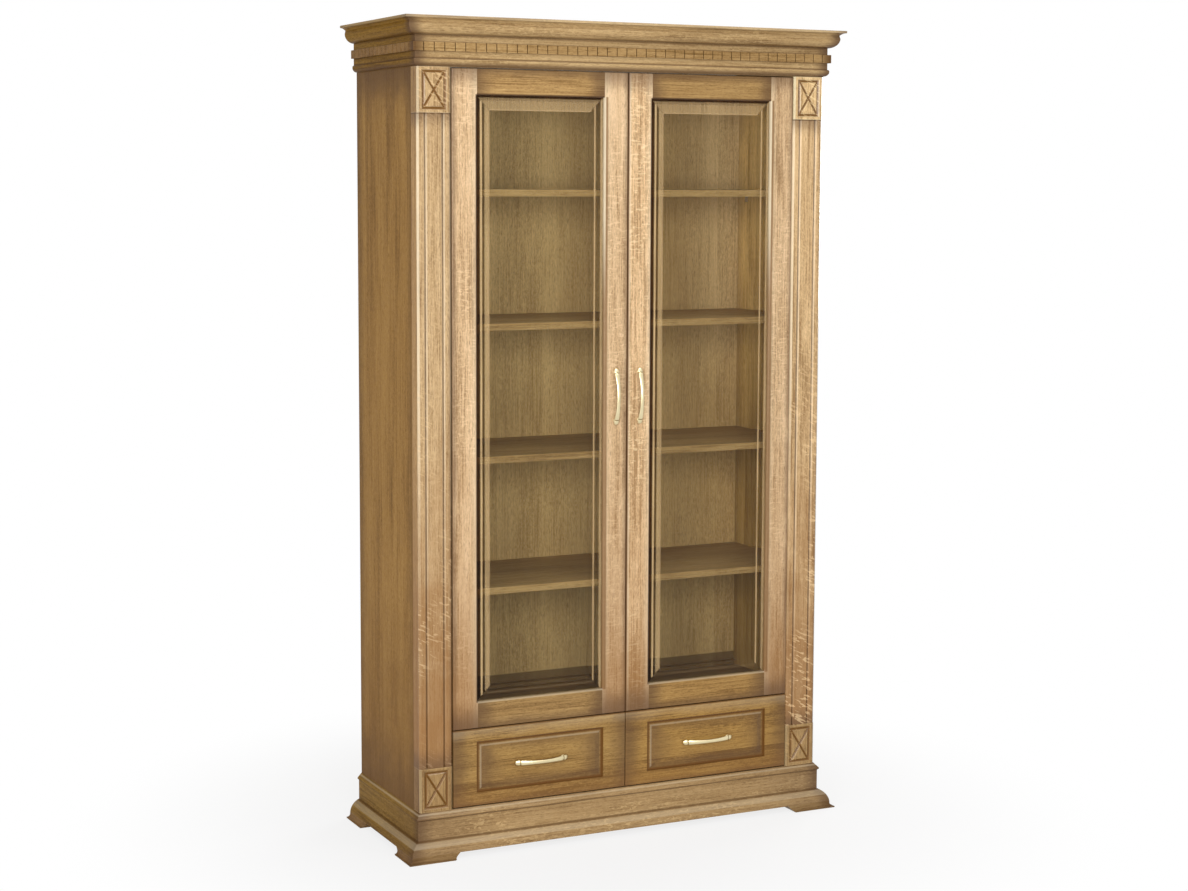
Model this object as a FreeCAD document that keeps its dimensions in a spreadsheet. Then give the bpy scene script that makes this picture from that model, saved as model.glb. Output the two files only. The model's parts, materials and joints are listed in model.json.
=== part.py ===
import FreeCAD, Part
import math
import os
import Sketcher

# Two-door display cabinet in oak with two drawers, a dentilled cornice and a bracket plinth.
# +X is the cabinet's right, -Y its front and +Z up. The origin is on the floor, at the centre
# of the overall footprint. All sizes are in millimetres.
SIZES = {
    # overall form
    "total_height": 2160,
    "body_width": 1188,
    "body_depth": 440,
    "board": 18,
    "back_thickness": 6,
    "back_inset": 4,
    # corner posts and the carved blocks at their ends
    "post_width": 92,
    "post_depth": 42,
    "post_edge": 5,
    "flute_spacing": 48,
    "flute_width": 10,
    "flute_depth": 5,
    "block_height": 115,
    "block_proud": 2,
    "carving_side_border": 13,
    "carving_end_border": 9,
    "carving_width": 10,
    "carving_depth": 4,
    "cross_width": 8,
    "cross_depth": 3.5,
    "cut_foot": 0.3,
    # cornice moulding, measured outwards from the body and up from its underside
    "cornice_height": 124,
    "cornice_overhang": 46,
    "moulding_seat": 22,
    "cornice_bead": 12,
    "cornice_bead_foot": 2,
    "cornice_bead_nose": 4,
    "fascia_offset": 8,
    "cornice_ovolo": 25,
    "ovolo_foot": 78,
    "crown_neck": 31,
    "crown_neck_rise": 8,
    "crown_lip": 6,
    "top_panel": 10,
    "top_panel_recess": 12,
    # dentil strip on the cornice's fascia
    "dentil_rise": 38,
    "dentil_height": 22,
    "dentil_thickness": 7.5,
    "dentil_front_count": 43,
    "dentil_side_count": 16,
    "kerf_width": 2.5,
    "kerf_depth": 5,
    # plinth moulding and its bracket feet
    "plinth_height": 123,
    "plinth_overhang": 45,
    "plinth_bead": 12,
    "plinth_bead_drop": 13,
    "plinth_bead_lip": 7,
    "plinth_ovolo_top": 50,
    "plinth_ovolo_foot": 12,
    "plinth_ovolo_overhang": 34.5,
    "foot_lip": 3,
    "front_foot": 127,
    "side_foot": 110,
    "foot_cut": 17,
    # doors
    "door_gap": 2,
    "door_thickness": 22,
    "door_rear_gap": 2,
    "divide_height": 330,
    "stile_width": 69,
    "top_rail": 66,
    "bottom_rail": 69,
    "frame_edge": 3,
    "sight_round": 6,
    "sight_corner": 4,
    "lip_thickness": 10,
    "rebate": 10,
    "glass_thickness": 3,
    "glass_field": 2,
    "glass_bevel": 36,
    "glass_margin": 2,
    "glass_clearance": 1,
    # shelves
    "floor_top": 338,
    "lowest_bay": 352,
    "top_bay": 288.5,
    "shelf_count": 4,
    "shelf_setback": 46,
    "shelf_clearance": 1,
    "support_width": 14,
    "support_height": 18,
    "support_reach": 12,
    "support_wall": 2.5,
    "support_inset": 50,
    # concealed hinges
    "hinge_count": 4,
    "hinge_end": 110,
    "cup_radius": 17.5,
    "cup_depth": 11,
    "cup_inset": 22,
    "cup_flange": 1.5,
    "cup_flange_width": 28,
    "cup_flange_length": 62,
    "hinge_clearance": 0.3,
    "arm_width": 16,
    "arm_depth": 10,
    "arm_reach": 42,
    "plate_thickness": 4,
    "plate_height": 50,
    "plate_depth": 17,
    # drawers
    "drawer_front": 20,
    "panel_inset_side": 66,
    "panel_inset_end": 34,
    "panel_groove": 8,
    "panel_slope": 16,
    "panel_groove_depth": 4,
    "drawer_edge": 2,
    "drawer_side": 12,
    "drawer_side_height": 140,
    "drawer_side_rise": 25,
    "drawer_length": 380,
    "drawer_bottom": 6,
    "drawer_bottom_rise": 10,
    "drawer_groove": 6,
    "drawer_clearance": 0.5,
    # telescopic slides
    "slide_space": 13,
    "slide_height": 45,
    "slide_wall": 1.5,
    "slide_channel": 10,
    "slide_length": 350,
    "slide_front": 26,
    "slide_clearance": 0.3,
    "slide_root": 3,
    # bow handles
    "handle_pitch": 128,
    "handle_rise": 21,
    "handle_foot_rise": 7,
    "handle_overrun": 12,
    "handle_end_width": 13.5,
    "handle_mid_width": 9.5,
    "handle_thickness": 6,
    "handle_tip_rise": 2.5,
    "handle_tip_thickness": 3,
    "handle_base_radius": 6.5,
    "handle_base_height": 2.5,
    "handle_neck_radius": 4.5,
    "handle_edge_inset": 35,
    "handle_height": 1185,
}

# Slope of a drawer panel's wall, in degrees from square to the face.
PANEL_EDGE = 22

# Sides of a handle's neck and of the base under it.
FOOT_SIDES = 8

# Where the centre of an arc in an outline lies.
LEVEL_START = "level with start"
LEVEL_END = "level with end"
PLUMB_START = "plumb with start"
PLUMB_END = "plumb with end"


class Size:
    # A length that carries its value and the sheet formula that it comes from.
    def __init__(self, value, formula):
        self.value = value
        self.formula = formula

    def __add__(self, other):
        other = as_size(other)
        return Size(self.value + other.value, f"({self.formula} + {other.formula})")

    def __sub__(self, other):
        other = as_size(other)
        return Size(self.value - other.value, f"({self.formula} - {other.formula})")

    def __mul__(self, other):
        other = as_size(other)
        return Size(self.value * other.value, f"({self.formula} * {other.formula})")

    def __truediv__(self, other):
        other = as_size(other)
        return Size(self.value / other.value, f"({self.formula} / {other.formula})")

    def __radd__(self, other):
        return as_size(other) + self

    def __rsub__(self, other):
        return as_size(other) - self

    def __rmul__(self, other):
        return as_size(other) * self

    def __neg__(self):
        return Size(-self.value, f"(-1 * {self.formula})")

    def root(self):
        return Size(math.sqrt(self.value), f"sqrt({self.formula})")

    def arctangent(self):
        return Size(math.degrees(math.atan(self.value)), f"atan({self.formula})")


def as_size(number):
    if isinstance(number, Size):
        return number
    return Size(float(number), f"({number})")


doc = FreeCAD.newDocument("DisplayCabinet")
sheet = doc.addObject("Spreadsheet::Sheet", "dims")
for row, (alias, number) in enumerate(SIZES.items(), start=1):
    sheet.set(f"A{row}", alias)
    sheet.set(f"B{row}", str(number))
    sheet.setAlias(f"B{row}", alias)
doc.recompute()

nodes = []


def dim(alias):
    return Size(float(SIZES[alias]), f"dims.{alias}")


def bind(target, prop, size):
    target.setExpression(prop, as_size(size).formula)


def place(target, corner):
    for axis, size in zip("xyz", corner):
        bind(target, f"Placement.Base.{axis}", size)


def node(target, label):
    target.Label = label
    nodes.append(target)
    return target


def box(name, corner, extent):
    solid = doc.addObject("Part::Box", name)
    for prop, size in zip(("Length", "Width", "Height"), extent):
        bind(solid, prop, size)
    place(solid, corner)
    return solid


def board(label, low, high):
    extent = [top - bottom for bottom, top in zip(low, high)]
    return node(box(label, low, extent), label)


def mirror(name, source, plane_x=0):
    image = doc.addObject("Part::Mirroring", name)
    image.Source = source
    image.Normal = FreeCAD.Vector(1, 0, 0)
    bind(image, "Base.x", plane_x)
    return image


def mirrored_node(label, source):
    return node(mirror(label, source), label)


def group(label, members):
    compound = doc.addObject("Part::Compound", label)
    compound.Links = members
    return node(compound, label)


def boolean(kind, name, base, tool):
    result = doc.addObject(f"Part::{kind}", name)
    result.Base = base
    result.Tool = tool
    return result


def new_body(name, corner=(0, 0, 0)):
    body = doc.addObject("PartDesign::Body", name)
    place(body, corner)
    return body


def origin_feature(body, role):
    return next(feature for feature in body.Origin.OriginFeatures if feature.Role == role)


def new_sketch(body, name, plane, offset=0):
    # A sketch on one of the body's own planes, or moved off it along its normal.
    sketch = body.newObject("Sketcher::SketchObject", name)
    sketch.AttachmentSupport = (origin_feature(body, plane), [""])
    sketch.MapMode = "FlatFace"
    bind(sketch, "AttachmentOffset.Base.z", offset)
    return sketch


def fix_point(sketch, geometry, position, corner):
    # Holds a point at its two distances from the sketch's origin.
    for kind, size in zip(("DistanceX", "DistanceY"), corner):
        if size is None:
            continue
        size = as_size(size)
        index = sketch.addConstraint(
            Sketcher.Constraint(kind, -1, 1, geometry, position, size.value))
        bind(sketch, f"Constraints[{index}]", size)


def arc_centre(anchor, far, axis):
    # Centre of the arc between two points that shares the anchor's coordinate on one axis.
    run = anchor[1 - axis] - far[1 - axis]
    rise = anchor[axis] - far[axis]
    centre = [0, 0]
    centre[axis] = anchor[axis]
    centre[1 - axis] = anchor[1 - axis] - (run * run + rise * rise) / (2 * run)
    return tuple(centre)


def arc_geometry(start, end, centre):
    radius = math.hypot(start[0] - centre[0], start[1] - centre[1])
    first = math.atan2(start[1] - centre[1], start[0] - centre[0])
    last = math.atan2(end[1] - centre[1], end[0] - centre[0])
    forward = (last - first) % (2 * math.pi) < math.pi
    if not forward:
        first, last = last, first
    circle = Part.Circle(FreeCAD.Vector(*centre, 0), FreeCAD.Vector(0, 0, 1), radius)
    return Part.ArcOfCircle(circle, first, last), forward


def outline(sketch, corners):
    # A closed outline. A corner is (x, y), or (x, y, kind) where an arc leads to it: kind says
    # whether the arc's centre is level or plumb with its start or its end.
    count = len(corners)
    points = [tuple(as_size(size).value for size in corner[:2]) for corner in corners]
    ends = []
    for index in range(count):
        start, end = points[index], points[(index + 1) % count]
        target = corners[(index + 1) % count]
        if len(target) == 3:
            from_start = target[2] in (LEVEL_START, PLUMB_START)
            axis = 0 if target[2] in (PLUMB_START, PLUMB_END) else 1
            anchor, far = (start, end) if from_start else (end, start)
            curve, forward = arc_geometry(start, end, arc_centre(anchor, far, axis))
            geometry = sketch.addGeometry(curve, False)
            ends.append((geometry, 1, 2) if forward else (geometry, 2, 1))
            held = [None, None]
            held[axis] = (corners[index] if from_start else target)[axis]
            fix_point(sketch, geometry, 3, held)
        else:
            line = Part.LineSegment(FreeCAD.Vector(*start, 0), FreeCAD.Vector(*end, 0))
            ends.append((sketch.addGeometry(line, False), 1, 2))
    for index in range(count):
        geometry, first, last = ends[index]
        following = ends[(index + 1) % count]
        sketch.addConstraint(
            Sketcher.Constraint("Coincident", geometry, last, following[0], following[1]))
        fix_point(sketch, geometry, first, corners[index][:2])
    return sketch


def rectangle(low, high):
    return [(low[0], low[1]), (high[0], low[1]), (high[0], high[1]), (low[0], high[1])]


def circle(sketch, centre, radius):
    shape = Part.Circle(FreeCAD.Vector(as_size(centre[0]).value, as_size(centre[1]).value, 0),
                        FreeCAD.Vector(0, 0, 1), as_size(radius).value)
    geometry = sketch.addGeometry(shape, False)
    fix_point(sketch, geometry, 3, centre)
    index = sketch.addConstraint(
        Sketcher.Constraint("Radius", geometry, as_size(radius).value))
    bind(sketch, f"Constraints[{index}]", radius)


def pad(body, name, plane, loops, length, reverse=False, symmetric=False, taper=0):
    sketch = new_sketch(body, f"{name}_sketch", plane)
    for corners in loops:
        outline(sketch, corners)
    feature = body.newObject("PartDesign::Pad", name)
    feature.Profile = sketch
    bind(feature, "Length", length)
    feature.Reversed = reverse
    feature.Midplane = symmetric
    feature.TaperAngle = taper
    return feature


def pocket(body, name, plane, loops, length=None, reverse=False, taper=0, circles=(), offset=0):
    # Without a length the pocket runs through the whole body, both ways from its plane.
    sketch = new_sketch(body, f"{name}_sketch", plane, offset)
    for corners in loops:
        outline(sketch, corners)
    for centre, radius in circles:
        circle(sketch, centre, radius)
    feature = body.newObject("PartDesign::Pocket", name)
    feature.Profile = sketch
    feature.Reversed = reverse
    feature.TaperAngle = taper
    if length is None:
        feature.Type = "ThroughAll"
        feature.Midplane = True
    else:
        bind(feature, "Length", length)
    return feature


def row_of(body, name, features, axis, pitch, count):
    pattern = body.newObject("PartDesign::LinearPattern", name)
    pattern.Originals = features
    pattern.Direction = (origin_feature(body, axis), [""])
    pattern.Mode = "Spacing"
    bind(pattern, "Offset", pitch)
    bind(pattern, "Occurrences", count)
    body.Tip = pattern
    return pattern


def round_edges(body, name, base, radius, chosen):
    # Rounds the edges of the body's last feature that pass the test in chosen.
    doc.recompute()
    names = [f"Edge{index}" for index, edge in enumerate(base.Shape.Edges, start=1)
             if chosen(edge)]
    feature = body.newObject("PartDesign::Fillet", name)
    feature.Base = (base, names)
    bind(feature, "Radius", radius)
    return feature


def ease_edges(body, name, base, size, chosen):
    # Takes off the edges of the body's last feature that pass the test in chosen.
    doc.recompute()
    names = [f"Edge{index}" for index, edge in enumerate(base.Shape.Edges, start=1)
             if chosen(edge)]
    feature = body.newObject("PartDesign::Chamfer", name)
    feature.Base = (base, names)
    bind(feature, "Size", size)
    return feature


def on_front(edge):
    return max(abs(vertex.Y) for vertex in edge.Vertexes) < 1e-6


def upright(edge):
    return abs(edge.Vertexes[0].X - edge.Vertexes[-1].X) < 1e-6


# Lines and planes that the pieces share.
half_width = dim("body_width") / 2
back_y = (dim("body_depth") + dim("cornice_overhang")) / 2
front_y = back_y - dim("body_depth")
plinth_top = dim("plinth_height")
cornice_bottom = dim("total_height") - dim("cornice_height")
inner_x = half_width - dim("board")
post_x = half_width - dim("post_width")
post_back = front_y + dim("post_depth")
board_front = front_y + dim("door_thickness") + dim("door_rear_gap")
back_front = back_y - dim("back_inset") - dim("back_thickness")
bottom_top = plinth_top + dim("board")
floor_bottom = dim("floor_top") - dim("board")
carcass_top_bottom = cornice_bottom - dim("board")
half_board = dim("board") / 2
first_shelf_top = dim("floor_top") + dim("lowest_bay")
last_shelf_top = carcass_top_bottom - dim("top_bay")
shelf_pitch = (last_shelf_top - first_shelf_top) / (dim("shelf_count") - 1)


def notched_board(label, bottom):
    # A board between the side panels, notched round the two corner posts.
    body = new_body(label, (0, 0, bottom))
    loop = [(-inner_x, post_back), (-post_x, post_back), (-post_x, board_front),
            (post_x, board_front), (post_x, post_back), (inner_x, post_back),
            (inner_x, back_front), (-inner_x, back_front)]
    pad(body, f"{label}_pad", "XY_Plane", [loop], dim("board"))
    node(body, label)


def carcass():
    panel = board("left_side_panel", (-half_width, post_back, plinth_top),
                  (-inner_x, back_y, cornice_bottom))
    mirrored_node("right_side_panel", panel)
    notched_board("carcass_bottom", plinth_top)
    notched_board("display_floor", floor_bottom)
    notched_board("carcass_top", carcass_top_bottom)
    board("back_panel", (-inner_x, back_front, plinth_top),
          (inner_x, back_front + dim("back_thickness"), cornice_bottom))
    board("drawer_partition", (-half_board, board_front, bottom_top),
          (half_board, back_front, floor_bottom))
    lining = board("left_drawer_lining", (-post_x - dim("board"), post_back, bottom_top),
                   (-post_x, back_front, floor_bottom))
    mirrored_node("right_drawer_lining", lining)


def pilaster():
    # Fluted post: two V-shaped flutes in its face, and both front edges taken off.
    body = new_body("left_pilaster", (-half_width, front_y, plinth_top + dim("block_height")))
    width, edge = dim("post_width"), dim("post_edge")
    half_flute = dim("flute_width") / 2
    loop = [(0, dim("post_depth")), (0, edge), (edge, 0)]
    for side in (-1, 1):
        centre = width / 2 + side * dim("flute_spacing") / 2
        loop += [(centre - half_flute, 0), (centre, dim("flute_depth")), (centre + half_flute, 0)]
    loop += [(width - edge, 0), (width, edge), (width, dim("post_depth"))]
    height = cornice_bottom - plinth_top - 2 * dim("block_height")
    pad(body, "pilaster_pad", "XY_Plane", [loop], height)
    node(body, "left_pilaster")
    mirrored_node("right_pilaster", body)


def carved_block(name, bottom):
    # Block with a V-cut rectangle round a V-cut cross, face 2 mm proud of the post. Each cut is
    # a narrow slot whose edges are taken off down to its foot.
    centre_x = -half_width + dim("post_width") / 2
    body = new_body(f"{name}_left_block",
                    (centre_x, front_y - dim("block_proud"), bottom + dim("block_height") / 2))
    half = (dim("post_width") / 2, dim("block_height") / 2)
    base = pad(body, f"{name}_block_pad", "XZ_Plane", [rectangle((-half[0], -half[1]), half)],
               dim("post_depth") + dim("block_proud"), reverse=True)
    ease_edges(body, f"{name}_block_edges", base, dim("post_edge"),
               lambda edge: on_front(edge) and upright(edge))

    def within(limit):
        return lambda edge: on_front(edge) and all(
            abs(vertex.X) < limit[0].value and abs(vertex.Z) < limit[1].value
            for vertex in edge.Vertexes)

    border = (dim("carving_side_border"), dim("carving_end_border"))
    outer = tuple(size - margin for size, margin in zip(half, border))
    island = tuple(size - dim("carving_width") for size in outer)
    slope = dim("carving_depth") - dim("cut_foot")
    slot = [tuple(size - slope for size in outer), tuple(size + slope for size in island)]
    recess = pocket(body, f"{name}_block_recess", "XZ_Plane",
                    [rectangle((-size[0], -size[1]), size) for size in slot],
                    dim("carving_depth"))
    ease_edges(body, f"{name}_block_recess_walls", recess, slope, within(outer))
    slope = dim("cross_depth") - dim("cut_foot")
    half_slot = dim("cross_width") / 2 - slope
    diagonal = (island[0] * island[0] + island[1] * island[1]).root()
    end_x, end_z = (size * (1 - (dim("cross_width") + slope) / diagonal) for size in island)
    aside = half_slot * island[1] / diagonal
    upward = half_slot * island[0] / diagonal
    middle_x = half_slot * diagonal / island[1]
    middle_z = half_slot * diagonal / island[0]
    upper = [(middle_x, as_size(0)), (end_x + aside, end_z - upward),
             (end_x - aside, end_z + upward), (as_size(0), middle_z),
             (aside - end_x, end_z + upward), (-end_x - aside, end_z - upward)]
    cross = pocket(body, f"{name}_block_cross", "XZ_Plane",
                   [upper + [(-x, -z) for x, z in upper]], dim("cross_depth"))
    ease_edges(body, f"{name}_block_cross_walls", cross, slope, within(island))
    node(body, f"{name}_left_block")
    mirrored_node(f"{name}_right_block", body)


def cornice_profile(outwards, seat):
    # Section of the cornice as (distance across, height): outwards is +1 or -1 along the axis.
    def across(offset):
        return outwards * as_size(offset)
    bead, nose = dim("cornice_bead"), dim("cornice_bead_nose")
    foot, fascia = dim("cornice_bead_foot"), dim("fascia_offset")
    ovolo_end = fascia + dim("cornice_ovolo")
    ovolo_top = dim("ovolo_foot") + dim("cornice_ovolo")
    neck = ovolo_top + dim("crown_neck_rise")
    lip = dim("cornice_height") - dim("crown_lip")
    return [
        (across(-seat), 0), (0, 0), (0, foot),
        (across(bead), foot + bead, LEVEL_END),
        (across(bead), foot + bead + nose / 2),
        (across(fascia), foot + bead + nose / 2 + nose, LEVEL_START),
        (across(fascia), dim("ovolo_foot")),
        (across(ovolo_end), ovolo_top, LEVEL_END),
        (across(dim("crown_neck")), neck),
        (across(dim("cornice_overhang")), lip, PLUMB_END),
        (across(dim("cornice_overhang")), dim("cornice_height")),
        (across(-seat), dim("cornice_height")),
    ]


def plinth_profile(outwards, seat):
    def across(offset):
        return outwards * as_size(offset)
    fascia, bead = dim("fascia_offset"), dim("plinth_bead")
    bead_tip = plinth_top - dim("plinth_bead_drop")
    ovolo = dim("plinth_ovolo_overhang")
    return [
        (across(-seat), 0), (across(dim("plinth_overhang")), 0),
        (across(dim("plinth_overhang")), dim("foot_lip")),
        (across(ovolo), dim("plinth_ovolo_foot"), LEVEL_END),
        (across(fascia), dim("plinth_ovolo_top"), LEVEL_START),
        (across(fascia), bead_tip - dim("plinth_bead_lip")),
        (across(bead), bead_tip - dim("plinth_bead_lip") / 2),
        (across(bead), bead_tip),
        (0, plinth_top), (across(-seat), plinth_top),
    ]


def mitre_ends(body, name, overhang, seat):
    # Cuts both ends of a front moulding along the diagonals through the body's corners.
    loops = []
    for side in (-1, 1):
        loops.append([(side * (half_width + overhang), -overhang),
                      (side * (half_width - seat), seat),
                      (side * (half_width + overhang), seat)])
    pocket(body, name, "XY_Plane", loops)


def mitre_front(body, name, overhang, seat):
    # Cuts the front end of a left-hand return along the diagonal of its corner.
    loop = [(-overhang, -overhang), (seat, seat), (seat, -overhang)]
    pocket(body, name, "XY_Plane", [loop])


def moulding(name, profile, overhang, bottom, seat):
    # Front run and left return of a moulding round the body, mitred at the front corners.
    front = new_body(f"{name}_front", (0, front_y, bottom))
    pad(front, f"{name}_front_pad", "YZ_Plane", [profile(-1, seat)],
        2 * (half_width + overhang), symmetric=True)
    mitre_ends(front, f"{name}_front_mitres", overhang, seat)
    left = new_body(f"{name}_left", (-half_width, front_y, bottom))
    run = pad(left, f"{name}_left_pad", "XZ_Plane", [profile(-1, seat)],
              dim("body_depth"), reverse=True)
    run.SideType = "Two sides"
    bind(run, "Length2", overhang)
    mitre_front(left, f"{name}_left_mitre", overhang, seat)
    return front, left


def cornice():
    front, left = moulding("cornice", cornice_profile, dim("cornice_overhang"), cornice_bottom,
                           dim("moulding_seat"))
    node(front, "cornice_front")
    node(left, "cornice_left")
    mirrored_node("cornice_right", left)
    seat_x = half_width - dim("moulding_seat")
    top = dim("total_height") - dim("top_panel_recess")
    board("cornice_top_panel", (-seat_x, front_y + dim("moulding_seat"), top - dim("top_panel")),
          (seat_x, back_y, top))


def dentil_profile(outwards, seat):
    inner = outwards * -1 * seat
    outer = outwards * (dim("fascia_offset") + dim("dentil_thickness"))
    return rectangle((inner, 0), (outer, dim("dentil_height")))


def dentils():
    # Three strips of square teeth, parted by saw kerfs.
    reach = dim("fascia_offset") + dim("dentil_thickness")
    front, left = moulding("dentil", dentil_profile, reach, cornice_bottom + dim("dentil_rise"),
                           -dim("fascia_offset"))
    kerf, deep = dim("kerf_width"), dim("kerf_depth")
    length = 2 * (half_width + reach)
    pitch = length / dim("dentil_front_count")
    first = -length / 2 + pitch
    cut = pocket(front, "front_kerf", "XY_Plane",
                 [rectangle((first - kerf / 2, -reach), (first + kerf / 2, deep - reach))])
    row_of(front, "front_kerfs", [cut], "X_Axis", pitch, dim("dentil_front_count") - 1)
    depth = dim("body_depth") + reach
    pitch = depth / dim("dentil_side_count")
    first = pitch - reach
    cut = pocket(left, "side_kerf", "XY_Plane",
                 [rectangle((-reach, first - kerf / 2), (deep - reach, first + kerf / 2))])
    row_of(left, "side_kerfs", [cut], "Y_Axis", pitch, dim("dentil_side_count") - 1)
    group("dentil_moulding", [front, left, mirror("dentil_right", left)])


def plinth():
    # Mitred runs, the six bracket feet that they stand on, and a plain rail at the back.
    overhang, seat, cut = dim("plinth_overhang"), dim("moulding_seat"), dim("foot_cut")
    runs = moulding("plinth", plinth_profile, overhang, 0, seat)
    slices = moulding("foot", plinth_profile, overhang, 0, seat)
    reach = half_width + overhang
    spans = (("front", "XZ_Plane", -reach, reach, dim("front_foot")),
             ("side", "YZ_Plane", -overhang, dim("body_depth"), dim("side_foot")))
    for run, foot, (word, plane, low, high, length) in zip(runs, slices, spans):
        pocket(run, f"{word}_foot_space", plane, [rectangle((low, 0), (high, cut))])
        pocket(foot, f"{word}_run_space", plane, [rectangle((low, cut), (high, plinth_top))])
        start, end = low + length, high - length
        pocket(foot, f"{word}_arch", plane,
               [[(start, 0), (end, 0), (end - cut, cut), (start + cut, cut)]])
    front, left = runs
    node(front, "plinth_front")
    node(left, "plinth_left")
    mirrored_node("plinth_right", left)
    front_feet, left_feet = slices
    group("bracket_feet", [front_feet, left_feet, mirror("right_feet", left_feet)])
    seat_x = half_width - seat
    board("plinth_back_rail", (-seat_x, back_y - dim("board"), 0), (seat_x, back_y, plinth_top))


def shelves():
    shelf_front = front_y + dim("shelf_setback")
    half = inner_x - dim("shelf_clearance")
    for index in range(SIZES["shelf_count"]):
        top = first_shelf_top + index * shelf_pitch
        board(f"shelf_{index + 1}", (-half, shelf_front, top - dim("board")),
              (half, back_front - dim("shelf_clearance"), top))
    supports()


def supports():
    # Angle brackets on the side panels, one front and one rear under each end of a shelf.
    wall, reach, height = dim("support_wall"), dim("support_reach"), dim("support_height")
    shelf_front = front_y + dim("shelf_setback")
    rows = {"front": shelf_front + dim("support_inset"), "rear": back_front - dim("support_inset")}
    brackets = []
    for word, y in rows.items():
        body = new_body(f"{word}_supports", (-inner_x, y, first_shelf_top - dim("board")))
        loop = [(0, 0), (0, -height), (wall, -height), (wall, -wall), (reach, -wall), (reach, 0)]
        angle = pad(body, f"{word}_angle", "XZ_Plane", [loop], dim("support_width"),
                    symmetric=True)
        row_of(body, f"{word}_angles", [angle], "Z_Axis", shelf_pitch, dim("shelf_count"))
        brackets += [body, mirror(f"{word}_supports_right", body)]
    group("shelf_supports", brackets)


# Left door, from the post to the middle of the cabinet.
door_left = dim("door_gap") - post_x
door_width = post_x - dim("door_gap") - dim("door_gap") / 2
door_bottom = dim("divide_height") + dim("door_gap") / 2
door_height = cornice_bottom - dim("door_gap") - door_bottom
sight_low = (dim("stile_width"), dim("bottom_rail"))
sight_high = (door_width - dim("stile_width"), door_height - dim("top_rail"))
hinge_pitch = (door_height - 2 * dim("hinge_end")) / (dim("hinge_count") - 1)


def grown(amount):
    low = tuple(size - amount for size in sight_low)
    high = tuple(size + amount for size in sight_high)
    return low, high


def door_frame():
    # The framed opening with its rounded sight edge, rear rebate and hinge cup bores.
    body = new_body("door_frame", (door_left, front_y, door_bottom))
    base = pad(body, "frame_pad", "XZ_Plane",
               [rectangle((0, 0), (door_width, door_height)), rectangle(sight_low, sight_high)],
               dim("door_thickness"), reverse=True)

    def inside(edge):
        return all(1 < vertex.X < door_width.value - 1 for vertex in edge.Vertexes)

    def sight_corner(edge):
        return inside(edge) and abs(edge.Vertexes[0].Y - edge.Vertexes[-1].Y) > 1

    corners = round_edges(body, "sight_corners", base, dim("sight_corner"), sight_corner)
    sight = round_edges(body, "sight_edge", corners, dim("sight_round"),
                        lambda edge: on_front(edge) and inside(edge))
    round_edges(body, "frame_edge", sight, dim("frame_edge"),
                lambda edge: on_front(edge) and not inside(edge)
                and (min(v.X for v in edge.Vertexes) < 1e-6
                     or max(v.X for v in edge.Vertexes) > door_width.value - 1e-6))
    pocket(body, "rebate", "XZ_Plane", [rectangle(*grown(dim("rebate")))],
           dim("door_thickness") - dim("lip_thickness"), reverse=True,
           offset=-dim("door_thickness"))
    cup = pocket(body, "cup_bore", "XZ_Plane", [], dim("cup_depth"), reverse=True,
                 circles=[((dim("cup_inset"), dim("hinge_end")), dim("cup_radius"))],
                 offset=-dim("door_thickness"))
    row_of(body, "cup_bores", [cup], "Z_Axis", hinge_pitch, dim("hinge_count"))
    return body


def door_members(frame):
    # The frame parted into two full-height stiles and the rails between them.
    rail_length = door_width - 2 * dim("stile_width")
    stile = (dim("stile_width"), dim("door_thickness"), door_height)
    parts = {
        "hinge_stile": ((0, 0), stile),
        "meeting_stile": ((door_width - dim("stile_width"), 0), stile),
        "bottom_rail": ((dim("stile_width"), 0),
                        (rail_length, dim("door_thickness"), dim("bottom_rail"))),
        "top_rail": ((dim("stile_width"), door_height - dim("top_rail")),
                     (rail_length, dim("door_thickness"), dim("top_rail"))),
    }
    for word, ((x, z), extent) in parts.items():
        blank = box(f"{word}_blank", (door_left + x, front_y, door_bottom + z), extent)
        member = node(boolean("Common", f"left_door_{word}", frame, blank), f"left_door_{word}")
        mirrored_node(f"right_door_{word}", member)


def door_glass():
    # Bevelled pane: a thin lap held in the rebate and a thicker field in front of it.
    lap_low, lap_high = grown(dim("rebate") - dim("glass_clearance"))
    seat_y = front_y + dim("lip_thickness")
    slab = box("glass_slab", (door_left + lap_low[0], seat_y, door_bottom + lap_low[1]),
               (lap_high[0] - lap_low[0], dim("glass_thickness"), lap_high[1] - lap_low[1]))
    foot_low, foot_high = grown(-dim("glass_margin"))
    top_low, top_high = grown(-dim("glass_margin") - dim("glass_bevel"))
    field = doc.addObject("Part::Wedge", "glass_field")
    for prop, size in {
            "Xmin": top_low[0], "Xmax": top_high[0], "Zmin": top_low[1], "Zmax": top_high[1],
            "X2min": foot_low[0], "X2max": foot_high[0], "Z2min": foot_low[1],
            "Z2max": foot_high[1], "Ymin": -dim("glass_field"), "Ymax": as_size(0)}.items():
        bind(field, prop, size)
    place(field, (door_left, seat_y, door_bottom))
    pane = node(boolean("Fuse", "left_door_glass", slab, field), "left_door_glass")
    mirrored_node("right_door_glass", pane)


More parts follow.
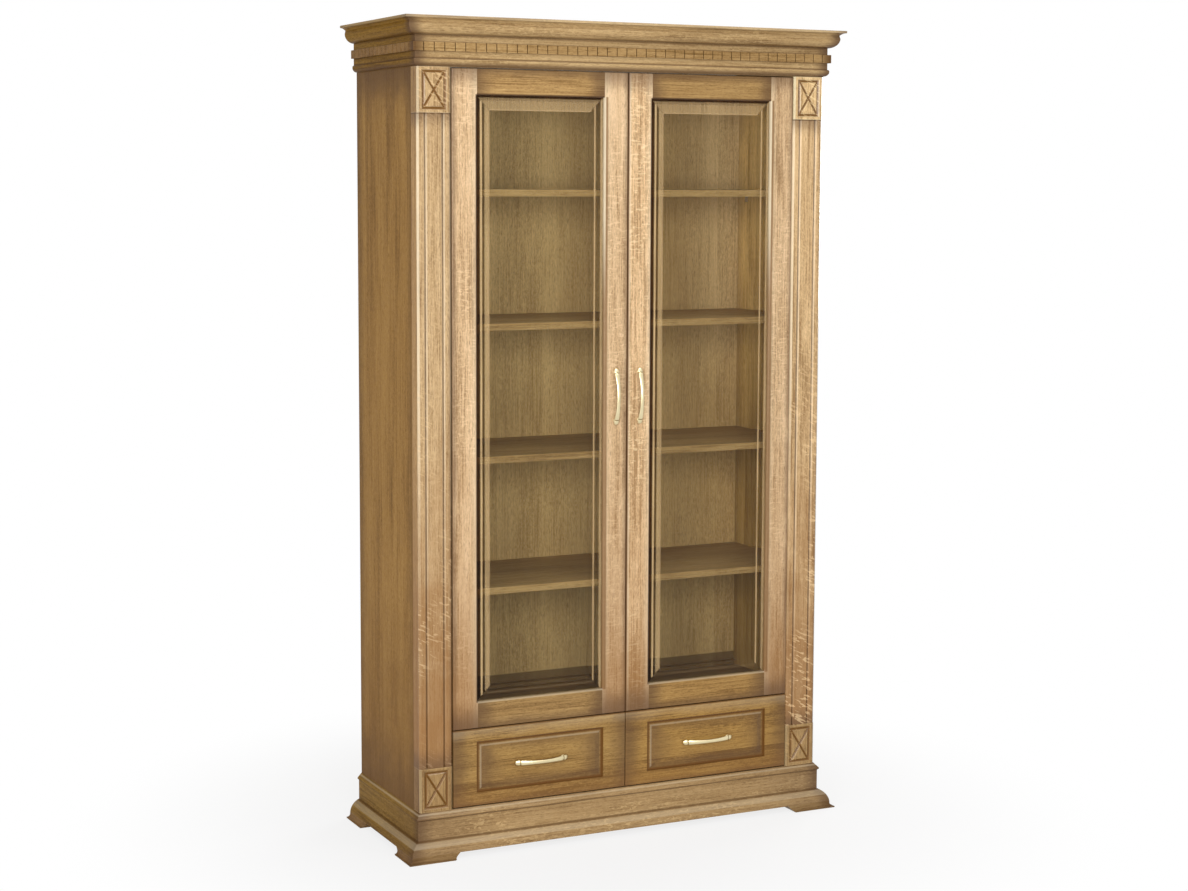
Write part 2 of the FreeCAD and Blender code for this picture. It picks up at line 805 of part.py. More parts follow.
def glass_beads():
    # Four strips that hold the pane in the rebate from behind.
    width = dim("rebate")
    low, high = grown(width)
    start_y = front_y + dim("lip_thickness") + dim("glass_thickness")
    depth = front_y + dim("door_thickness") - start_y
    strips = []
    spans = {
        "low": (low, (high[0] - low[0], width)),
        "high": ((low[0], high[1] - width), (high[0] - low[0], width)),
        "hinge": ((low[0], low[1] + width), (width, high[1] - low[1] - 2 * width)),
        "meeting": ((high[0] - width, low[1] + width), (width, high[1] - low[1] - 2 * width)),
    }
    for word, ((x, z), (length, height)) in spans.items():
        strips.append(box(f"bead_{word}", (door_left + x, start_y, door_bottom + z),
                          (length, depth, height)))
    beads = group("left_door_glass_beads", strips)
    mirrored_node("right_door_glass_beads", beads)


def hinges():
    # Sprung cup hinges: cups let into the door, arms on plates screwed to the post.
    rear = dim("door_thickness")
    cups = new_body("left_door_hinge_cups", (door_left + dim("cup_inset"), front_y + rear,
                                             door_bottom + dim("hinge_end")))
    half = (dim("cup_flange_width") / 2, dim("cup_flange_length") / 2)
    flange = pad(cups, "cup_flange_pad", "XZ_Plane", [rectangle((-half[0], -half[1]), half)],
                 dim("cup_flange"), reverse=True)
    sketch = new_sketch(cups, "cup_body_sketch", "XZ_Plane")
    circle(sketch, (0, 0), dim("cup_radius"))
    cup = cups.newObject("PartDesign::Pad", "cup_body")
    cup.Profile = sketch
    bind(cup, "Length", dim("cup_depth"))
    row_of(cups, "cup_row", [flange, cup], "Z_Axis", hinge_pitch, dim("hinge_count"))
    node(cups, "left_door_hinge_cups")
    mirrored_node("right_door_hinge_cups", cups)

    arm_front = rear + dim("cup_flange") + dim("hinge_clearance")
    arms = new_body("left_hinge_arms", (-post_x, front_y, door_bottom + dim("hinge_end")))
    plate = [(0, arm_front), (dim("plate_thickness"), arm_front),
             (dim("plate_thickness"), arm_front + dim("plate_depth")),
             (0, arm_front + dim("plate_depth"))]
    plates = pad(arms, "hinge_plate", "XY_Plane", [plate], dim("plate_height"), symmetric=True)
    arm = [(0, arm_front), (dim("arm_reach"), arm_front),
           (dim("arm_reach"), arm_front + dim("arm_depth") / 2),
           (dim("arm_reach") / 2, arm_front + dim("arm_depth")),
           (0, arm_front + dim("arm_depth"))]
    lever = pad(arms, "hinge_arm", "XY_Plane", [arm], dim("arm_width"), symmetric=True)
    row_of(arms, "arm_row", [plates, lever], "Z_Axis", hinge_pitch, dim("hinge_count"))
    group("hinge_arms", [arms, mirror("right_hinge_arms", arms)])


# Left drawer, between the lining and the partition.
drawer_bottom_z = plinth_top + dim("door_gap")
drawer_height = dim("divide_height") - dim("door_gap") / 2 - drawer_bottom_z
bay_low, bay_high = -post_x, -half_board
drawer_low = bay_low + dim("slide_space")
drawer_high = bay_high - dim("slide_space")
drawer_middle = (bay_low + bay_high) / 2
drawer_rear = front_y + dim("drawer_front")
side_z = drawer_bottom_z + dim("drawer_side_rise")
slide_z = side_z + dim("drawer_side_height") / 2


def drawer_front():
    # One board with a routed groove that leaves a raised panel.
    body = new_body("left_drawer_front", (door_left, front_y, drawer_bottom_z))
    base = pad(body, "drawer_front_pad", "XZ_Plane", [rectangle((0, 0), (door_width, drawer_height))],
               dim("drawer_front"), reverse=True)
    round_edges(body, "drawer_front_edges", base, dim("drawer_edge"), on_front)
    low = (dim("panel_inset_side"), dim("panel_inset_end"))
    high = (door_width - low[0], drawer_height - low[1])
    pocket(body, "panel_recess", "XZ_Plane", [rectangle(low, high)], dim("panel_groove_depth"),
           taper=-PANEL_EDGE)
    margin = dim("panel_groove") + dim("panel_slope")
    field_low = tuple(size + margin for size in low)
    field_high = tuple(size - margin for size in high)
    field = pad(body, "panel_field", "XZ_Plane", [rectangle(field_low, field_high)],
                dim("panel_groove_depth"), reverse=True)
    bind(field, "TaperAngle", (dim("panel_slope") / dim("panel_groove_depth")).arctangent())
    node(body, "left_drawer_front")
    mirrored_node("right_drawer_front", body)


def drawer_box():
    wall, height, length = dim("drawer_side"), dim("drawer_side_height"), dim("drawer_length")
    rise, thick = dim("drawer_bottom_rise"), dim("drawer_bottom")
    groove = wall - dim("drawer_groove")
    side = new_body("drawer_side", (drawer_low, drawer_rear, side_z))
    loop = [(0, 0), (wall, 0), (wall, rise), (groove, rise), (groove, rise + thick),
            (wall, rise + thick), (wall, height), (0, height)]
    pad(side, "drawer_side_pad", "XZ_Plane", [loop], length, reverse=True)
    sides = group("left_drawer_sides", [side, mirror("drawer_side_far", side, drawer_middle)])
    mirrored_node("right_drawer_sides", sides)
    back = board("left_drawer_back", (drawer_low + wall, drawer_rear + length - wall,
                                      side_z + rise + thick),
                 (drawer_high - wall, drawer_rear + length, side_z + height))
    mirrored_node("right_drawer_back", back)
    lap = wall - dim("drawer_groove") + dim("drawer_clearance")
    base = board("left_drawer_bottom", (drawer_low + lap, drawer_rear, side_z + rise),
                 (drawer_high - lap, drawer_rear + length, side_z + rise + thick))
    mirrored_node("right_drawer_bottom", base)


def channel(name, corner, depth, height, wall, faces):
    # A C-shaped rail that runs along Y: faces is +1 if it opens towards +X, otherwise -1.
    body = new_body(name, corner)
    half = height / 2
    loop = [(0, -half), (faces * depth, -half), (faces * depth, wall - half),
            (faces * wall, wall - half), (faces * wall, half - wall),
            (faces * depth, half - wall), (faces * depth, half), (0, half)]
    pad(body, f"{name}_pad", "XZ_Plane", [loop], dim("slide_length"), reverse=True)
    return body


def drawer_slides():
    wall, play = dim("slide_wall"), dim("slide_clearance")
    start_y = front_y + dim("slide_front")
    outer = channel("slide_outer", (bay_low, start_y, slide_z), dim("slide_channel"),
                    dim("slide_height"), wall, 1)
    far = mirror("slide_outer_far", outer, drawer_middle)
    group("slide_channels", [outer, far, mirror("slide_outer_right", outer),
                             mirror("slide_outer_far_right", far)])
    inner = channel("slide_inner", (drawer_low, start_y, slide_z),
                    dim("slide_space") - dim("slide_root"),
                    dim("slide_height") - 2 * wall - 2 * play, wall, -1)
    rails = group("left_drawer_slide_rails",
                  [inner, mirror("slide_inner_far", inner, drawer_middle)])
    mirrored_node("right_drawer_slide_rails", rails)


def handle(name):
    # Waisted bow on two eight-sided necks. It lies along X, with its feet on the plane Y = 0.
    half = dim("handle_pitch") / 2
    reach = half + dim("handle_overrun")
    rise, thick = dim("handle_rise"), dim("handle_thickness")
    tip, tip_thick = dim("handle_tip_rise"), dim("handle_tip_thickness")
    bow = new_body(f"{name}_bow")
    side_view = [(-reach, -tip - tip_thick / 2), (0, -rise - thick / 2, PLUMB_END),
                 (reach, -tip - tip_thick / 2, PLUMB_START), (reach, -tip + tip_thick / 2),
                 (0, -rise + thick / 2, PLUMB_END), (-reach, -tip + tip_thick / 2, PLUMB_START)]
    wide, waist = dim("handle_end_width") / 2, dim("handle_mid_width") / 2
    pad(bow, f"{name}_side_view", "XY_Plane", [side_view], 2 * wide, symmetric=True)
    trims = [[(-reach, side * wide), (0, side * waist, PLUMB_END),
              (reach, side * wide, PLUMB_START)] for side in (-1, 1)]
    pocket(bow, f"{name}_waist", "XZ_Plane", trims)
    pieces = [bow]
    for word, side in (("first", -1), ("second", 1)):
        for kind, radius, height in (
                ("base", dim("handle_base_radius"), dim("handle_base_height")),
                ("neck", dim("handle_neck_radius"), dim("handle_foot_rise"))):
            foot = doc.addObject("Part::Prism", f"{name}_{word}_{kind}")
            foot.Polygon = FOOT_SIDES
            bind(foot, "Circumradius", radius)
            bind(foot, "Height", height)
            foot.Placement.Rotation = FreeCAD.Rotation(FreeCAD.Vector(1, 0, 0), 90)
            place(foot, (side * half, 0, 0))
            pieces.append(foot)
    fused = doc.addObject("Part::MultiFuse", name)
    fused.Shapes = pieces
    return fused


def handles():
    door = handle("left_door_handle")
    door.Placement.Rotation = FreeCAD.Rotation(FreeCAD.Vector(0, 1, 0), 90)
    place(door, (-dim("handle_edge_inset"), front_y, dim("handle_height")))
    node(door, "left_door_handle")
    mirrored_node("right_door_handle", door)
    drawer = handle("left_drawer_handle")
    place(drawer, (door_left + door_width / 2, front_y, drawer_bottom_z + drawer_height / 2))
    node(drawer, "left_drawer_handle")
    mirrored_node("right_drawer_handle", drawer)


def build():
    carcass()
    pilaster()
    carved_block("lower", plinth_top)
    carved_block("upper", cornice_bottom - dim("block_height"))
    cornice()
    dentils()
    plinth()
    shelves()
    door_members(door_frame())
    door_glass()
    glass_beads()
    hinges()
    drawer_front()
    drawer_box()
    drawer_slides()
    handles()
    doc.recompute()


def check():
    for item in doc.Objects:
        if "Invalid" in item.State or "Error" in item.State:
            raise RuntimeError(f"{item.Label} failed: {item.State}")
    for item in nodes:
        shape = item.Shape
        if shape.isNull() or not shape.isValid() or not shape.Solids:
            raise RuntimeError(f"{item.Label} has no valid solid")


def write():
    os.makedirs("parts", exist_ok=True)
    for item in nodes:
        item.Shape.exportStep(f"parts/{item.Label}.step")
    print(f"{len(nodes)} nodes written")


build()
check()
write()
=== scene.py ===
import json
import math

import bmesh
import bpy
from mathutils import Matrix, Vector


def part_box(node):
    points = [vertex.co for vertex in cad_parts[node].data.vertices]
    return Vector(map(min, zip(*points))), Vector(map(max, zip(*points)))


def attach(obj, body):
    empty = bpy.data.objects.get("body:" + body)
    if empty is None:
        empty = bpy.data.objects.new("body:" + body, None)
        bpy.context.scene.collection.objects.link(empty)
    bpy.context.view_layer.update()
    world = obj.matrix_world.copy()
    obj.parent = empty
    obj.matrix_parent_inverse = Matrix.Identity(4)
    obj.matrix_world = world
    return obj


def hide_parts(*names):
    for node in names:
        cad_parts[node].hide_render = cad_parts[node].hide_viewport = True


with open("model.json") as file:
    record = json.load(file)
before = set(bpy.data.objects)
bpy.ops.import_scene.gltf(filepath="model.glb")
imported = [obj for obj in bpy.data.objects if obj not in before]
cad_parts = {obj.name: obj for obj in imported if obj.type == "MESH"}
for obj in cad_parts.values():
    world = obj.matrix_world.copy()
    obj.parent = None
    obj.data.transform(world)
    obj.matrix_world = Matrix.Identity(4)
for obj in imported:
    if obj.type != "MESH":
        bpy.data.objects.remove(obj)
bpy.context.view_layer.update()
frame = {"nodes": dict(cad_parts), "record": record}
nodes = frame["nodes"]
slotOf = {part["node"]: part["material_slot"] for part in frame["record"]["subparts"]}
print("frame loaded,", len(nodes), "pieces")


class Wire:  # a shader socket that can stand in a sum
    def __init__(self, tree, socket=None):
        self.tree = tree
        self.socket = socket

    def node(self, kind, settings=None, values=None, out=0):  # out: number, name, or None for all
        made = self.tree.nodes.new("ShaderNode" + kind)
        for name, value in (settings or {}).items():
            if name in ("stops", "steps"):  # a ramp's colours by position
                made.color_ramp.interpolation = "LINEAR" if name == "stops" else "CONSTANT"
                stops = made.color_ramp.elements
                stops.remove(stops[1])
                for number, (position, colour) in enumerate(value):
                    stop = stops.new(position) if number else stops[0]
                    stop.position = position
                    stop.color = (*colour, 1)
            else:
                setattr(made, name, value)
        for name, value in (values or {}).items():
            if isinstance(value, Wire):
                self.tree.links.new(value.socket, made.inputs[name])
            else:
                made.inputs[name].default_value = value
        if out is None:
            return [Wire(self.tree, socket) for socket in made.outputs]
        return Wire(self.tree, made.outputs[out]) if made.outputs else None

    def sum(self, operation, first, second):
        return self.node("Math", {"operation": operation}, {0: first, 1: second})

    def __add__(self, other):
        return self.sum("ADD", self, other)

    def __radd__(self, other):
        return self.sum("ADD", other, self)

    def __sub__(self, other):
        return self.sum("SUBTRACT", self, other)

    def __rsub__(self, other):
        return self.sum("SUBTRACT", other, self)

    def __mul__(self, other):
        return self.sum("MULTIPLY", self, other)

    def __rmul__(self, other):
        return self.sum("MULTIPLY", other, self)

    def __truediv__(self, other):
        return self.sum("DIVIDE", self, other)

    def __neg__(self):
        return self * -1

    def __abs__(self):
        return self.node("Math", {"operation": "ABSOLUTE"}, {0: self})

    def most(self, other):
        return self.sum("MAXIMUM", self, other)

    def least(self, other):
        return self.sum("MINIMUM", self, other)

    def rise(self, low, high):  # 0 below low, 1 above high, eased between
        return self.node("MapRange", {"interpolation_type": "SMOOTHSTEP"},
                         {0: self, 1: low, 2: high})

    def within(self, low, high, soft):
        return self.rise(low - soft, low) * (1 - self.rise(high, high + soft))

    def level(self, steps, kind="stops"):  # a grey by position along a ramp
        grey = [(position, (shade, shade, shade)) for position, shade in steps]
        return self.node("ValToRGB", {kind: grey}, {0: self})

    def tint(self, factor, colour, mode="MIX"):
        if isinstance(colour, tuple):
            colour = (*colour, 1)
        return self.node("Mix", {"data_type": "RGBA", "blend_type": mode},
                         {0: factor, 6: self, 7: colour}, 2)  # the colour sockets' numbers


def newLook(name):
    look = bpy.data.materials.new(name)
    look.use_nodes = True
    look.node_tree.nodes.clear()
    return look, Wire(look.node_tree)


def noise(place, stretch, shift, detail=2.0, rough=0.5, warp=0.0):
    spot = place.node("VectorMath", {"operation": "MULTIPLY_ADD"},
                      {0: place, 1: stretch, 2: shift})
    return place.node("TexNoise", None, {"Vector": spot, "Scale": 1, "Detail": detail,
                                         "Roughness": rough, "Distortion": warp})


def alongGrain(grain, along, across):  # pattern repeats per metre, per axis
    return tuple(along if axis == grain else across for axis in "XYZ")


def times(colour, factors):
    return tuple(min(part * factor, 1) for part, factor in zip(colour, factors))


# Oak by family: run of the grain, colour, strength of the figure, ray flecks as (strength, repeats
# along, repeats across, warp), lacquer and shine. Some have their own grit or fibre, slanting
# flecks, or glued boards.
oakKinds = {
    "stile": {"grain": "Z", "wood": (0.60, 0.40, 0.215), "figure": 0.9,
              "fleck": (0.4, 210, 50, 0.5), "coat": 0.12, "shine": 0.25, "grit": 0.5},
    "post": {"grain": "Z", "wood": (0.495, 0.325, 0.158), "figure": 0.8,
             "fleck": (0.5, 170, 42, 0.5), "slant": -0.45, "coat": 0.5, "shine": 0.1},
    "rail": {"grain": "X", "wood": (0.34, 0.20, 0.068), "figure": 0.7,
             "fleck": (0.25, 75, 150, 0.4), "coat": 0.1, "shine": 0.2},
    "crown": {"grain": "X", "wood": (0.42, 0.272, 0.118), "figure": 0.8,
              "fleck": (0.35, 75, 150, 0.4), "coat": 0.1, "shine": 0.2},
    "dentil": {"grain": "X", "wood": (0.35, 0.215, 0.085), "figure": 0.8,
               "fleck": (0.25, 75, 150, 0.4), "coat": 0, "shine": 0.03},
    "base": {"grain": "X", "wood": (0.385, 0.24, 0.10), "figure": 0.8,
             "fleck": (0.8, 60, 150, 0.8), "coat": 0.1, "shine": 0.2},
    "feet": {"grain": "X", "wood": (0.38, 0.24, 0.10), "figure": 0.8,
             "fleck": (0.3, 70, 170, 0.5), "coat": 0, "shine": 0.04},
    "return": {"grain": "Y", "wood": (0.232, 0.118, 0.014), "figure": 0.8,
               "fleck": (0.25, 75, 150, 0.4), "coat": 0, "shine": 0.02},
    "drawer": {"grain": "X", "wood": (0.325, 0.185, 0.052), "figure": 0.8,
               "fleck": (0.25, 75, 150, 0.4), "coat": 0.1, "shine": 0.2,
               "boards": {"axis": "Z", "steps": [(0, 0.25), (0.32, 0.72), (0.54, 0.5)],
                          "contrast": 0.45}},
    "panel": {"grain": "Z", "wood": (0.372, 0.2, 0.053), "figure": 0.7,
              "fleck": (0.15, 75, 150, 0.4), "coat": 0, "shine": 0.02, "fibre": 0.9,
              "boards": {"axis": "Y", "width": 0.11, "contrast": 0.12}},
    "board": {"grain": "X", "wood": (0.365, 0.215, 0.082), "figure": 0.8,
              "fleck": (0.2, 75, 150, 0.4), "coat": 0, "shine": 0.12},
    "lining": {"grain": "Y", "wood": (0.46, 0.30, 0.13), "figure": 0.8,
               "fleck": (0.2, 75, 150, 0.4), "coat": 0, "shine": 0.1},
    "back": {"grain": "Z", "wood": (0.66, 0.425, 0.178), "figure": 0.35,
             "fleck": (0.2, 75, 150, 0.4), "coat": 0, "shine": 0.05, "fibre": 0.8,
             "boards": {"axis": "X", "width": 0.14, "contrast": 0.1}},
    "box": {"grain": "Y", "wood": (0.68, 0.50, 0.29), "figure": 0.8,
            "fleck": (0.1, 75, 150, 0.4), "coat": 0, "shine": 0.2},
}
oakKinds["boxBack"] = {**oakKinds["box"], "grain": "X"}  # runs across the drawer
oakTones = {"dark": (0.52, 0.46, 0.38), "pale": (1.26, 1.33, 1.46), "pore": (0.30, 0.24, 0.18),
            "fleck": (1.5, 1.62, 1.8)}  # times the family's colour
patinaAndShade = (0.105, 0.052, 0.022)  # dark stain rubbed into edges and ends, and painted shade under the cornice, under the doors' top rails, along stiles' glass edges, on posts' right edges and in drawers' grooves
glazeAndShade = (0.095, 0.043, 0.013)  # stain left in flutes, mouldings and saw cuts, and painted shade in those hollows, under the blocks and along the display floor
amber = (0.28, 0.125, 0.030)  # orange-brown, darkening the fronts towards the bottom
sienna = (0.185, 0.082, 0.016)  # low on the sides, in the carving as stain and painted shade, and painted shade along the glass edges of two stiles
umber = (0.135, 0.052, 0.006)  # painted shadow in the drawers' grooves, and dark stain between the doors and along the drawers' top edges
wornAndHighlight = (0.80, 0.67, 0.46)  # edges rubbed back to pale wood, and painted highlights on edges and slopes that face the light
plain = (1, 1, 1)
# Boards that are paler or darker than their family.
ownTones = {"right_pilaster": (1.25, 1.25, 1.25), "upper_right_block": (1.42, 1.45, 1.42),
            "upper_left_block": (1.0, 0.99, 0.94),
            "lower_left_block": (0.68, 0.61, 0.45), "lower_right_block": (0.68, 0.61, 0.45),
            "right_door_meeting_stile": (1.2, 1.2, 1.2), "left_door_top_rail": (1.26, 1.3, 1.4),
            "plinth_left": (1.1, 1.2, 2.2), "display_floor": (0.66, 0.62, 0.5),
            "left_side_panel": (0.93, 0.93, 0.95), "plinth_front": (0.95, 0.95, 0.95),
            "right_door_bottom_rail": (1.02, 0.97, 0.82), "right_drawer_front": (1.02, 0.98, 0.85)}
# Pieces and slots whose family has another name.
families = {"cornice_front": "crown", "dentil_moulding": "dentil", "plinth_front": "base",
            "bracket_feet": "feet", "plinth_back_rail": "board", "left_drawer_back": "boxBack",
            "right_drawer_back": "boxBack", "drawer_wood": "box"}
seedSteps = (3.7, 5.3, 7.1)  # move each piece's pattern away from its neighbours'
# Edge of a stain: repeats and layer of the cloud that makes it ragged, how far it does, and the
# share of a line's half width that is at full strength.
stainEdge = {"repeats": (14, 14, 14), "layer": 8, "ragged": 0.7, "core": 0.2}


def familyOf(node):
    if node.endswith("_stile") or node.endswith("_beads"):
        return "stile"
    if node.endswith("_pilaster") or node.endswith("_block"):
        return "post"
    slot = slotOf[node]
    return families.get(node) or families.get(slot) or slot.replace("oak_", "")


def siteOf(node, start, seed):  # a piece's box and its own coordinates
    low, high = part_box(node)
    place = start.node("TexCoord", out="Object")
    across, depth, up = start.node("SeparateXYZ", None, {0: place}, None)
    shift = Vector([seed * step for step in seedSteps])
    cloud = noise(place, stainEdge["repeats"], shift * stainEdge["layer"])
    return {"node": node, "low": low, "high": high, "place": place, "shift": shift,
            "X": across, "Y": depth, "Z": up, "cloud": cloud}


def gap(site, axis, side):  # metres in from one end of the piece
    number = "XYZ".index(axis)
    if side > 0:
        return site["high"][number] - site[axis]
    return site[axis] - site["low"][number]


def closest(site, axis):  # metres in from the nearer end
    return gap(site, axis, -1).least(gap(site, axis, 1))


def fade(value, first, last, strength):  # full up to first, gone at last
    return strength * (1 - value.rise(first, last))


def near(site, axis, side, reach, strength):  # strong at one end, gone after a ragged reach
    ragged = (site["cloud"] - 0.5) * (reach * stainEdge["ragged"])
    return fade(gap(site, axis, side) + ragged, 0, reach, strength)


def stains(site, rows):  # rows of axis, end, reach, strength and stain
    return [(near(site, *row), stain) for *row, stain in rows]


def line(value, at, half, strength):
    return fade(abs(value - at), half * stainEdge["core"], half, strength)


def lines(value, rows):  # rows of place, half width, strength and stain
    return [(line(value, *row), stain) for *row, stain in rows]


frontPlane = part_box("left_pilaster")[0].y
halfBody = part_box("right_pilaster")[1].x
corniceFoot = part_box("cornice_front")[0].z
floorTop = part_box("display_floor")[1].z
sight = (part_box("left_door_bottom_rail")[1].z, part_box("left_door_top_rail")[0].z)  # of the glass
returnTone = {"from": (-0.0005, 0.0005), "tint": (0.72, 0.62, 0.46)}  # mouldings round the corner


def mitre(site):  # metres along a moulding from its corner, below 0 on the returns
    return halfBody + frontPlane - site["Y"] - abs(site["X"])


def returnMark(site):
    return (-mitre(site)).rise(*returnTone["from"]), returnTone["tint"], "MULTIPLY"


# Wear by piece, in metres. Three numbers are the distance up to which a mark is full, the distance
# where it is gone, and its strength.
stileWear = {
    "glow": ("Z", -1, 0.9, 0.5, amber),
    "glassSide": (0.024, 0.32),
    "outside": (0.018, 0.6),
    "handled": (0.010, 0.6),
    "meeting": (0.001, 0.004, 0.9),
    "ends": [("Z", -1, 0.26, 0.5, amber), ("Z", -1, 0.09, 0.7, patinaAndShade), ("Z", 1, 0.06, 0.65, patinaAndShade)],
    "soft": 0.003,
    "darkEdge": (0.002, 0.006, 0.85),
    "brownEdge": (0.007, 0.013, 0.8),
    "paleEdge": (0.001, 0.006, 0.85),
    "paleFrom": (1.4, 1.7),
}


def stileMarks(site):
    wear, node = stileWear, site["node"]
    outer = -1 if node in ("left_door_hinge_stile", "right_door_meeting_stile") else 1
    outside = ("X", outer, *wear["outside"], patinaAndShade)
    if node == "right_door_meeting_stile":  # a painted highlight along its meeting edge, which faces the light
        outside = ("X", outer, *wear["handled"], wornAndHighlight)
    marks = stains(site, [wear["glow"], ("X", -outer, *wear["glassSide"], wornAndHighlight), outside])
    if node.endswith("_meeting_stile"):
        marks.append((fade(gap(site, "X", outer), *wear["meeting"]), umber))
    marks += stains(site, wear["ends"])
    inner, opening = gap(site, "X", -outer), site["Z"].within(*sight, wear["soft"])
    # Along the glass, the left door's hinge stile and the right door's meeting stile get patina and painted
    # shade.
    if outer < 0:
        return marks + [(opening * fade(inner, *wear["darkEdge"]), patinaAndShade)]
    high = site["Z"].rise(*wear["paleFrom"])  # painted shade in brown along the glass, with a painted highlight high up
    return marks + [(opening * fade(inner, *wear["brownEdge"]), sienna),
                    (opening * high * fade(inner, *wear["paleEdge"]), wornAndHighlight)]


railWear = {
    "ends": [("X", -1, 0.06, 0.7, patinaAndShade), ("X", 1, 0.06, 0.7, patinaAndShade)],
    "outside": (0.03, 0.6),
    "aboveGlass": (0.001, 0.006, 0.9),
    "belowGlass": (0.001, 0.005, 0.4),
}


def railMarks(site):
    outer = 1 if "top" in site["node"] else -1
    inner = gap(site, "Z", -outer)
    marks = stains(site, railWear["ends"] + [("Z", outer, *railWear["outside"], patinaAndShade)])
    # A painted shadow along the top rail's edge over the glass, and a painted highlight along the bottom
    # rail's edge under it.
    if outer > 0:
        return marks + [(fade(inner, *railWear["aboveGlass"]), patinaAndShade)]
    return marks + [(fade(inner, *railWear["belowGlass"]), wornAndHighlight)]


# Posts. A cut is its depth, stain, strength, and the shares of the depth where the stain starts and is full;
# that stain is partly painted shade. The walls of the cuts, the chamfers and the blocks' ends are paled by
# wear and painted highlights, the pilasters' chamfers more so higher up; the right edges carry patina and
# painted shade, and a painted shadow runs along the pilaster's top under the block. The chamfered edges have
# no cuts.
postWear = {
    "flank": (0.0056, 0.0075),
    "flankTint": (0.855, 0.738, 0.533),
    "chamfer": (0.004, 0.006),
    "border": (0.006, 0.0065),
    "mouth": (0.0004, 0.001),
    "beyond": (0.001, 0.0015),
    "pilaster": {
        "cut": (0.005, glazeAndShade, 0.75, 0.5, 0.9),
        "walls": 0.4,
        "rubbed": (0.15, 0.45),
        "rubbedFrom": (0.7, 1.4),
        "stains": [("Z", -1, 1.0, 0.85, amber), ("Z", -1, 0.06, 0.6, patinaAndShade),
                   ("Z", 1, 0.05, 0.55, patinaAndShade), ("X", 1, 0.014, 0.5, patinaAndShade)],
        "top": (0.002, 0.005, 0.7),
    },
    "block": {
        "cut": (0.0045, sienna, 0.95, 0.15, 0.65),
        "walls": 0.2,
        "rubbed": 0.45,
        "ends": (0.001, 0.003, 0.2),
        "stains": [("X", 1, 0.014, 0.45, patinaAndShade), ("X", -1, 0.012, 0.2, patinaAndShade)],
    },
}


def postSide(site):  # 1 on the flanks of a post, behind its chamfered edge
    return gap(site, "Y", -1).rise(*postWear["flank"])


def postMarks(site):
    kind = site["node"].rsplit("_", 1)[1]
    wear, own, flank = postWear, postWear[kind], postSide(site)
    behind, edge = gap(site, "Y", -1), closest(site, "X")
    pale = times(wornAndHighlight, ownTones.get(site["node"], plain))
    field = edge.rise(*wear["border"])
    walls = behind.rise(*wear["mouth"]) * field * (1 - flank)  # of the cuts
    chamfer = (1 - flank) * (1 - edge.rise(*wear["chamfer"]))
    marks = [(flank, wear["flankTint"], "MULTIPLY"), (own["walls"] * walls, pale)]
    if kind == "block":
        marks += [(own["rubbed"] * chamfer, pale), (fade(closest(site, "Z"), *own["ends"]), pale)]
        marks += stains(site, own["stains"])
    else:
        low, more = own["rubbed"]
        marks.append(((low + more * site["Z"].rise(*own["rubbedFrom"])) * chamfer, pale))
        marks += stains(site, own["stains"])
        marks.append((fade(gap(site, "Z", 1), *own["top"]), glazeAndShade))
    deep, stain, strength, first, full = own["cut"]
    past = [deep + more for more in wear["beyond"]]
    bottom = behind.rise(deep * first, deep * full) * (1 - behind.rise(*past))
    return marks + [(strength * bottom * field, stain)]


# Drawer fronts: inset of the routed groove from the ends and from the long edges. What follows it
# is measured inwards from the groove's mouth.
drawerWear = {
    "stains": [("X", -1, 0.06, 0.65, patinaAndShade), ("X", 1, 0.06, 0.65, patinaAndShade),
               ("Z", -1, 0.016, 0.5, patinaAndShade), ("Z", 1, 0.034, 0.15, wornAndHighlight), ("Z", -1, 0.09, 0.3, amber)],
    "top": (0.0015, 0.004, 0.8),
    "inset": (0.066, 0.034),
    "mouth": (-0.0005, 0.0005),
    "groove": (0.004, 0.011, 0.5),
    "line": (0.003, 0.0056, 0.95),
    "glint": (0.0115, 0.0035, 0.2),
    "facing": (0.0005, 0.002),
    "rim": (0.006, 0.012),
    "ends": (0.012, 0.092),
    "edges": (0.012, 0.042, 0.7),
    "ragged": (0.06, 0.018),
    "shade": 0.65,
}


def drawerMarks(site):
    wear, uneven = drawerWear, site["cloud"] - 0.5
    besideGroove, overGroove = wear["inset"]
    aside, upward = closest(site, "X") - besideGroove, closest(site, "Z") - overGroove
    inward = aside.least(upward)
    groove = inward.rise(*wear["mouth"]) * fade(inward, *wear["groove"])
    ends = 1 - (aside + wear["ragged"][0] * uneven).rise(*wear["ends"])
    edges = fade(upward + wear["ragged"][1] * uneven, *wear["edges"])
    shaded = wear["shade"] * inward.rise(*wear["rim"]) * ends.most(edges)
    upper = (gap(site, "X", -1) - besideGroove).least(gap(site, "Z", 1) - overGroove)
    lit = 1 - (upper - inward).rise(*wear["facing"])  # the slopes that face the light
    marks = stains(site, wear["stains"]) + [(fade(gap(site, "Z", 1), *wear["top"]), umber)]
    # Painted shade in the groove and its dark line, and a painted highlight on the slopes that face the
    # light.
    return marks + [(shaded, patinaAndShade), (groove, patinaAndShade), (lit * line(inward, *wear["glint"]), wornAndHighlight),
                    (line(inward, *wear["line"]), umber)]


panelWear = {
    "stains": [("Y", -1, 0.05, 0.4, patinaAndShade), ("Y", 1, 0.06, 0.45, patinaAndShade),
               ("Z", -1, 0.7, 0.5, sienna), ("Z", -1, 0.2, 0.5, patinaAndShade)],
    "top": ("Z", 1, 0.14, 0.75),
    "inside": (0.001, 0.002),
    "insideTint": (1.3, 1.45, 1.7),
    "highFrom": (0.9, 1.6),
    "highTint": (1.5, 1.6, 1.9),
}


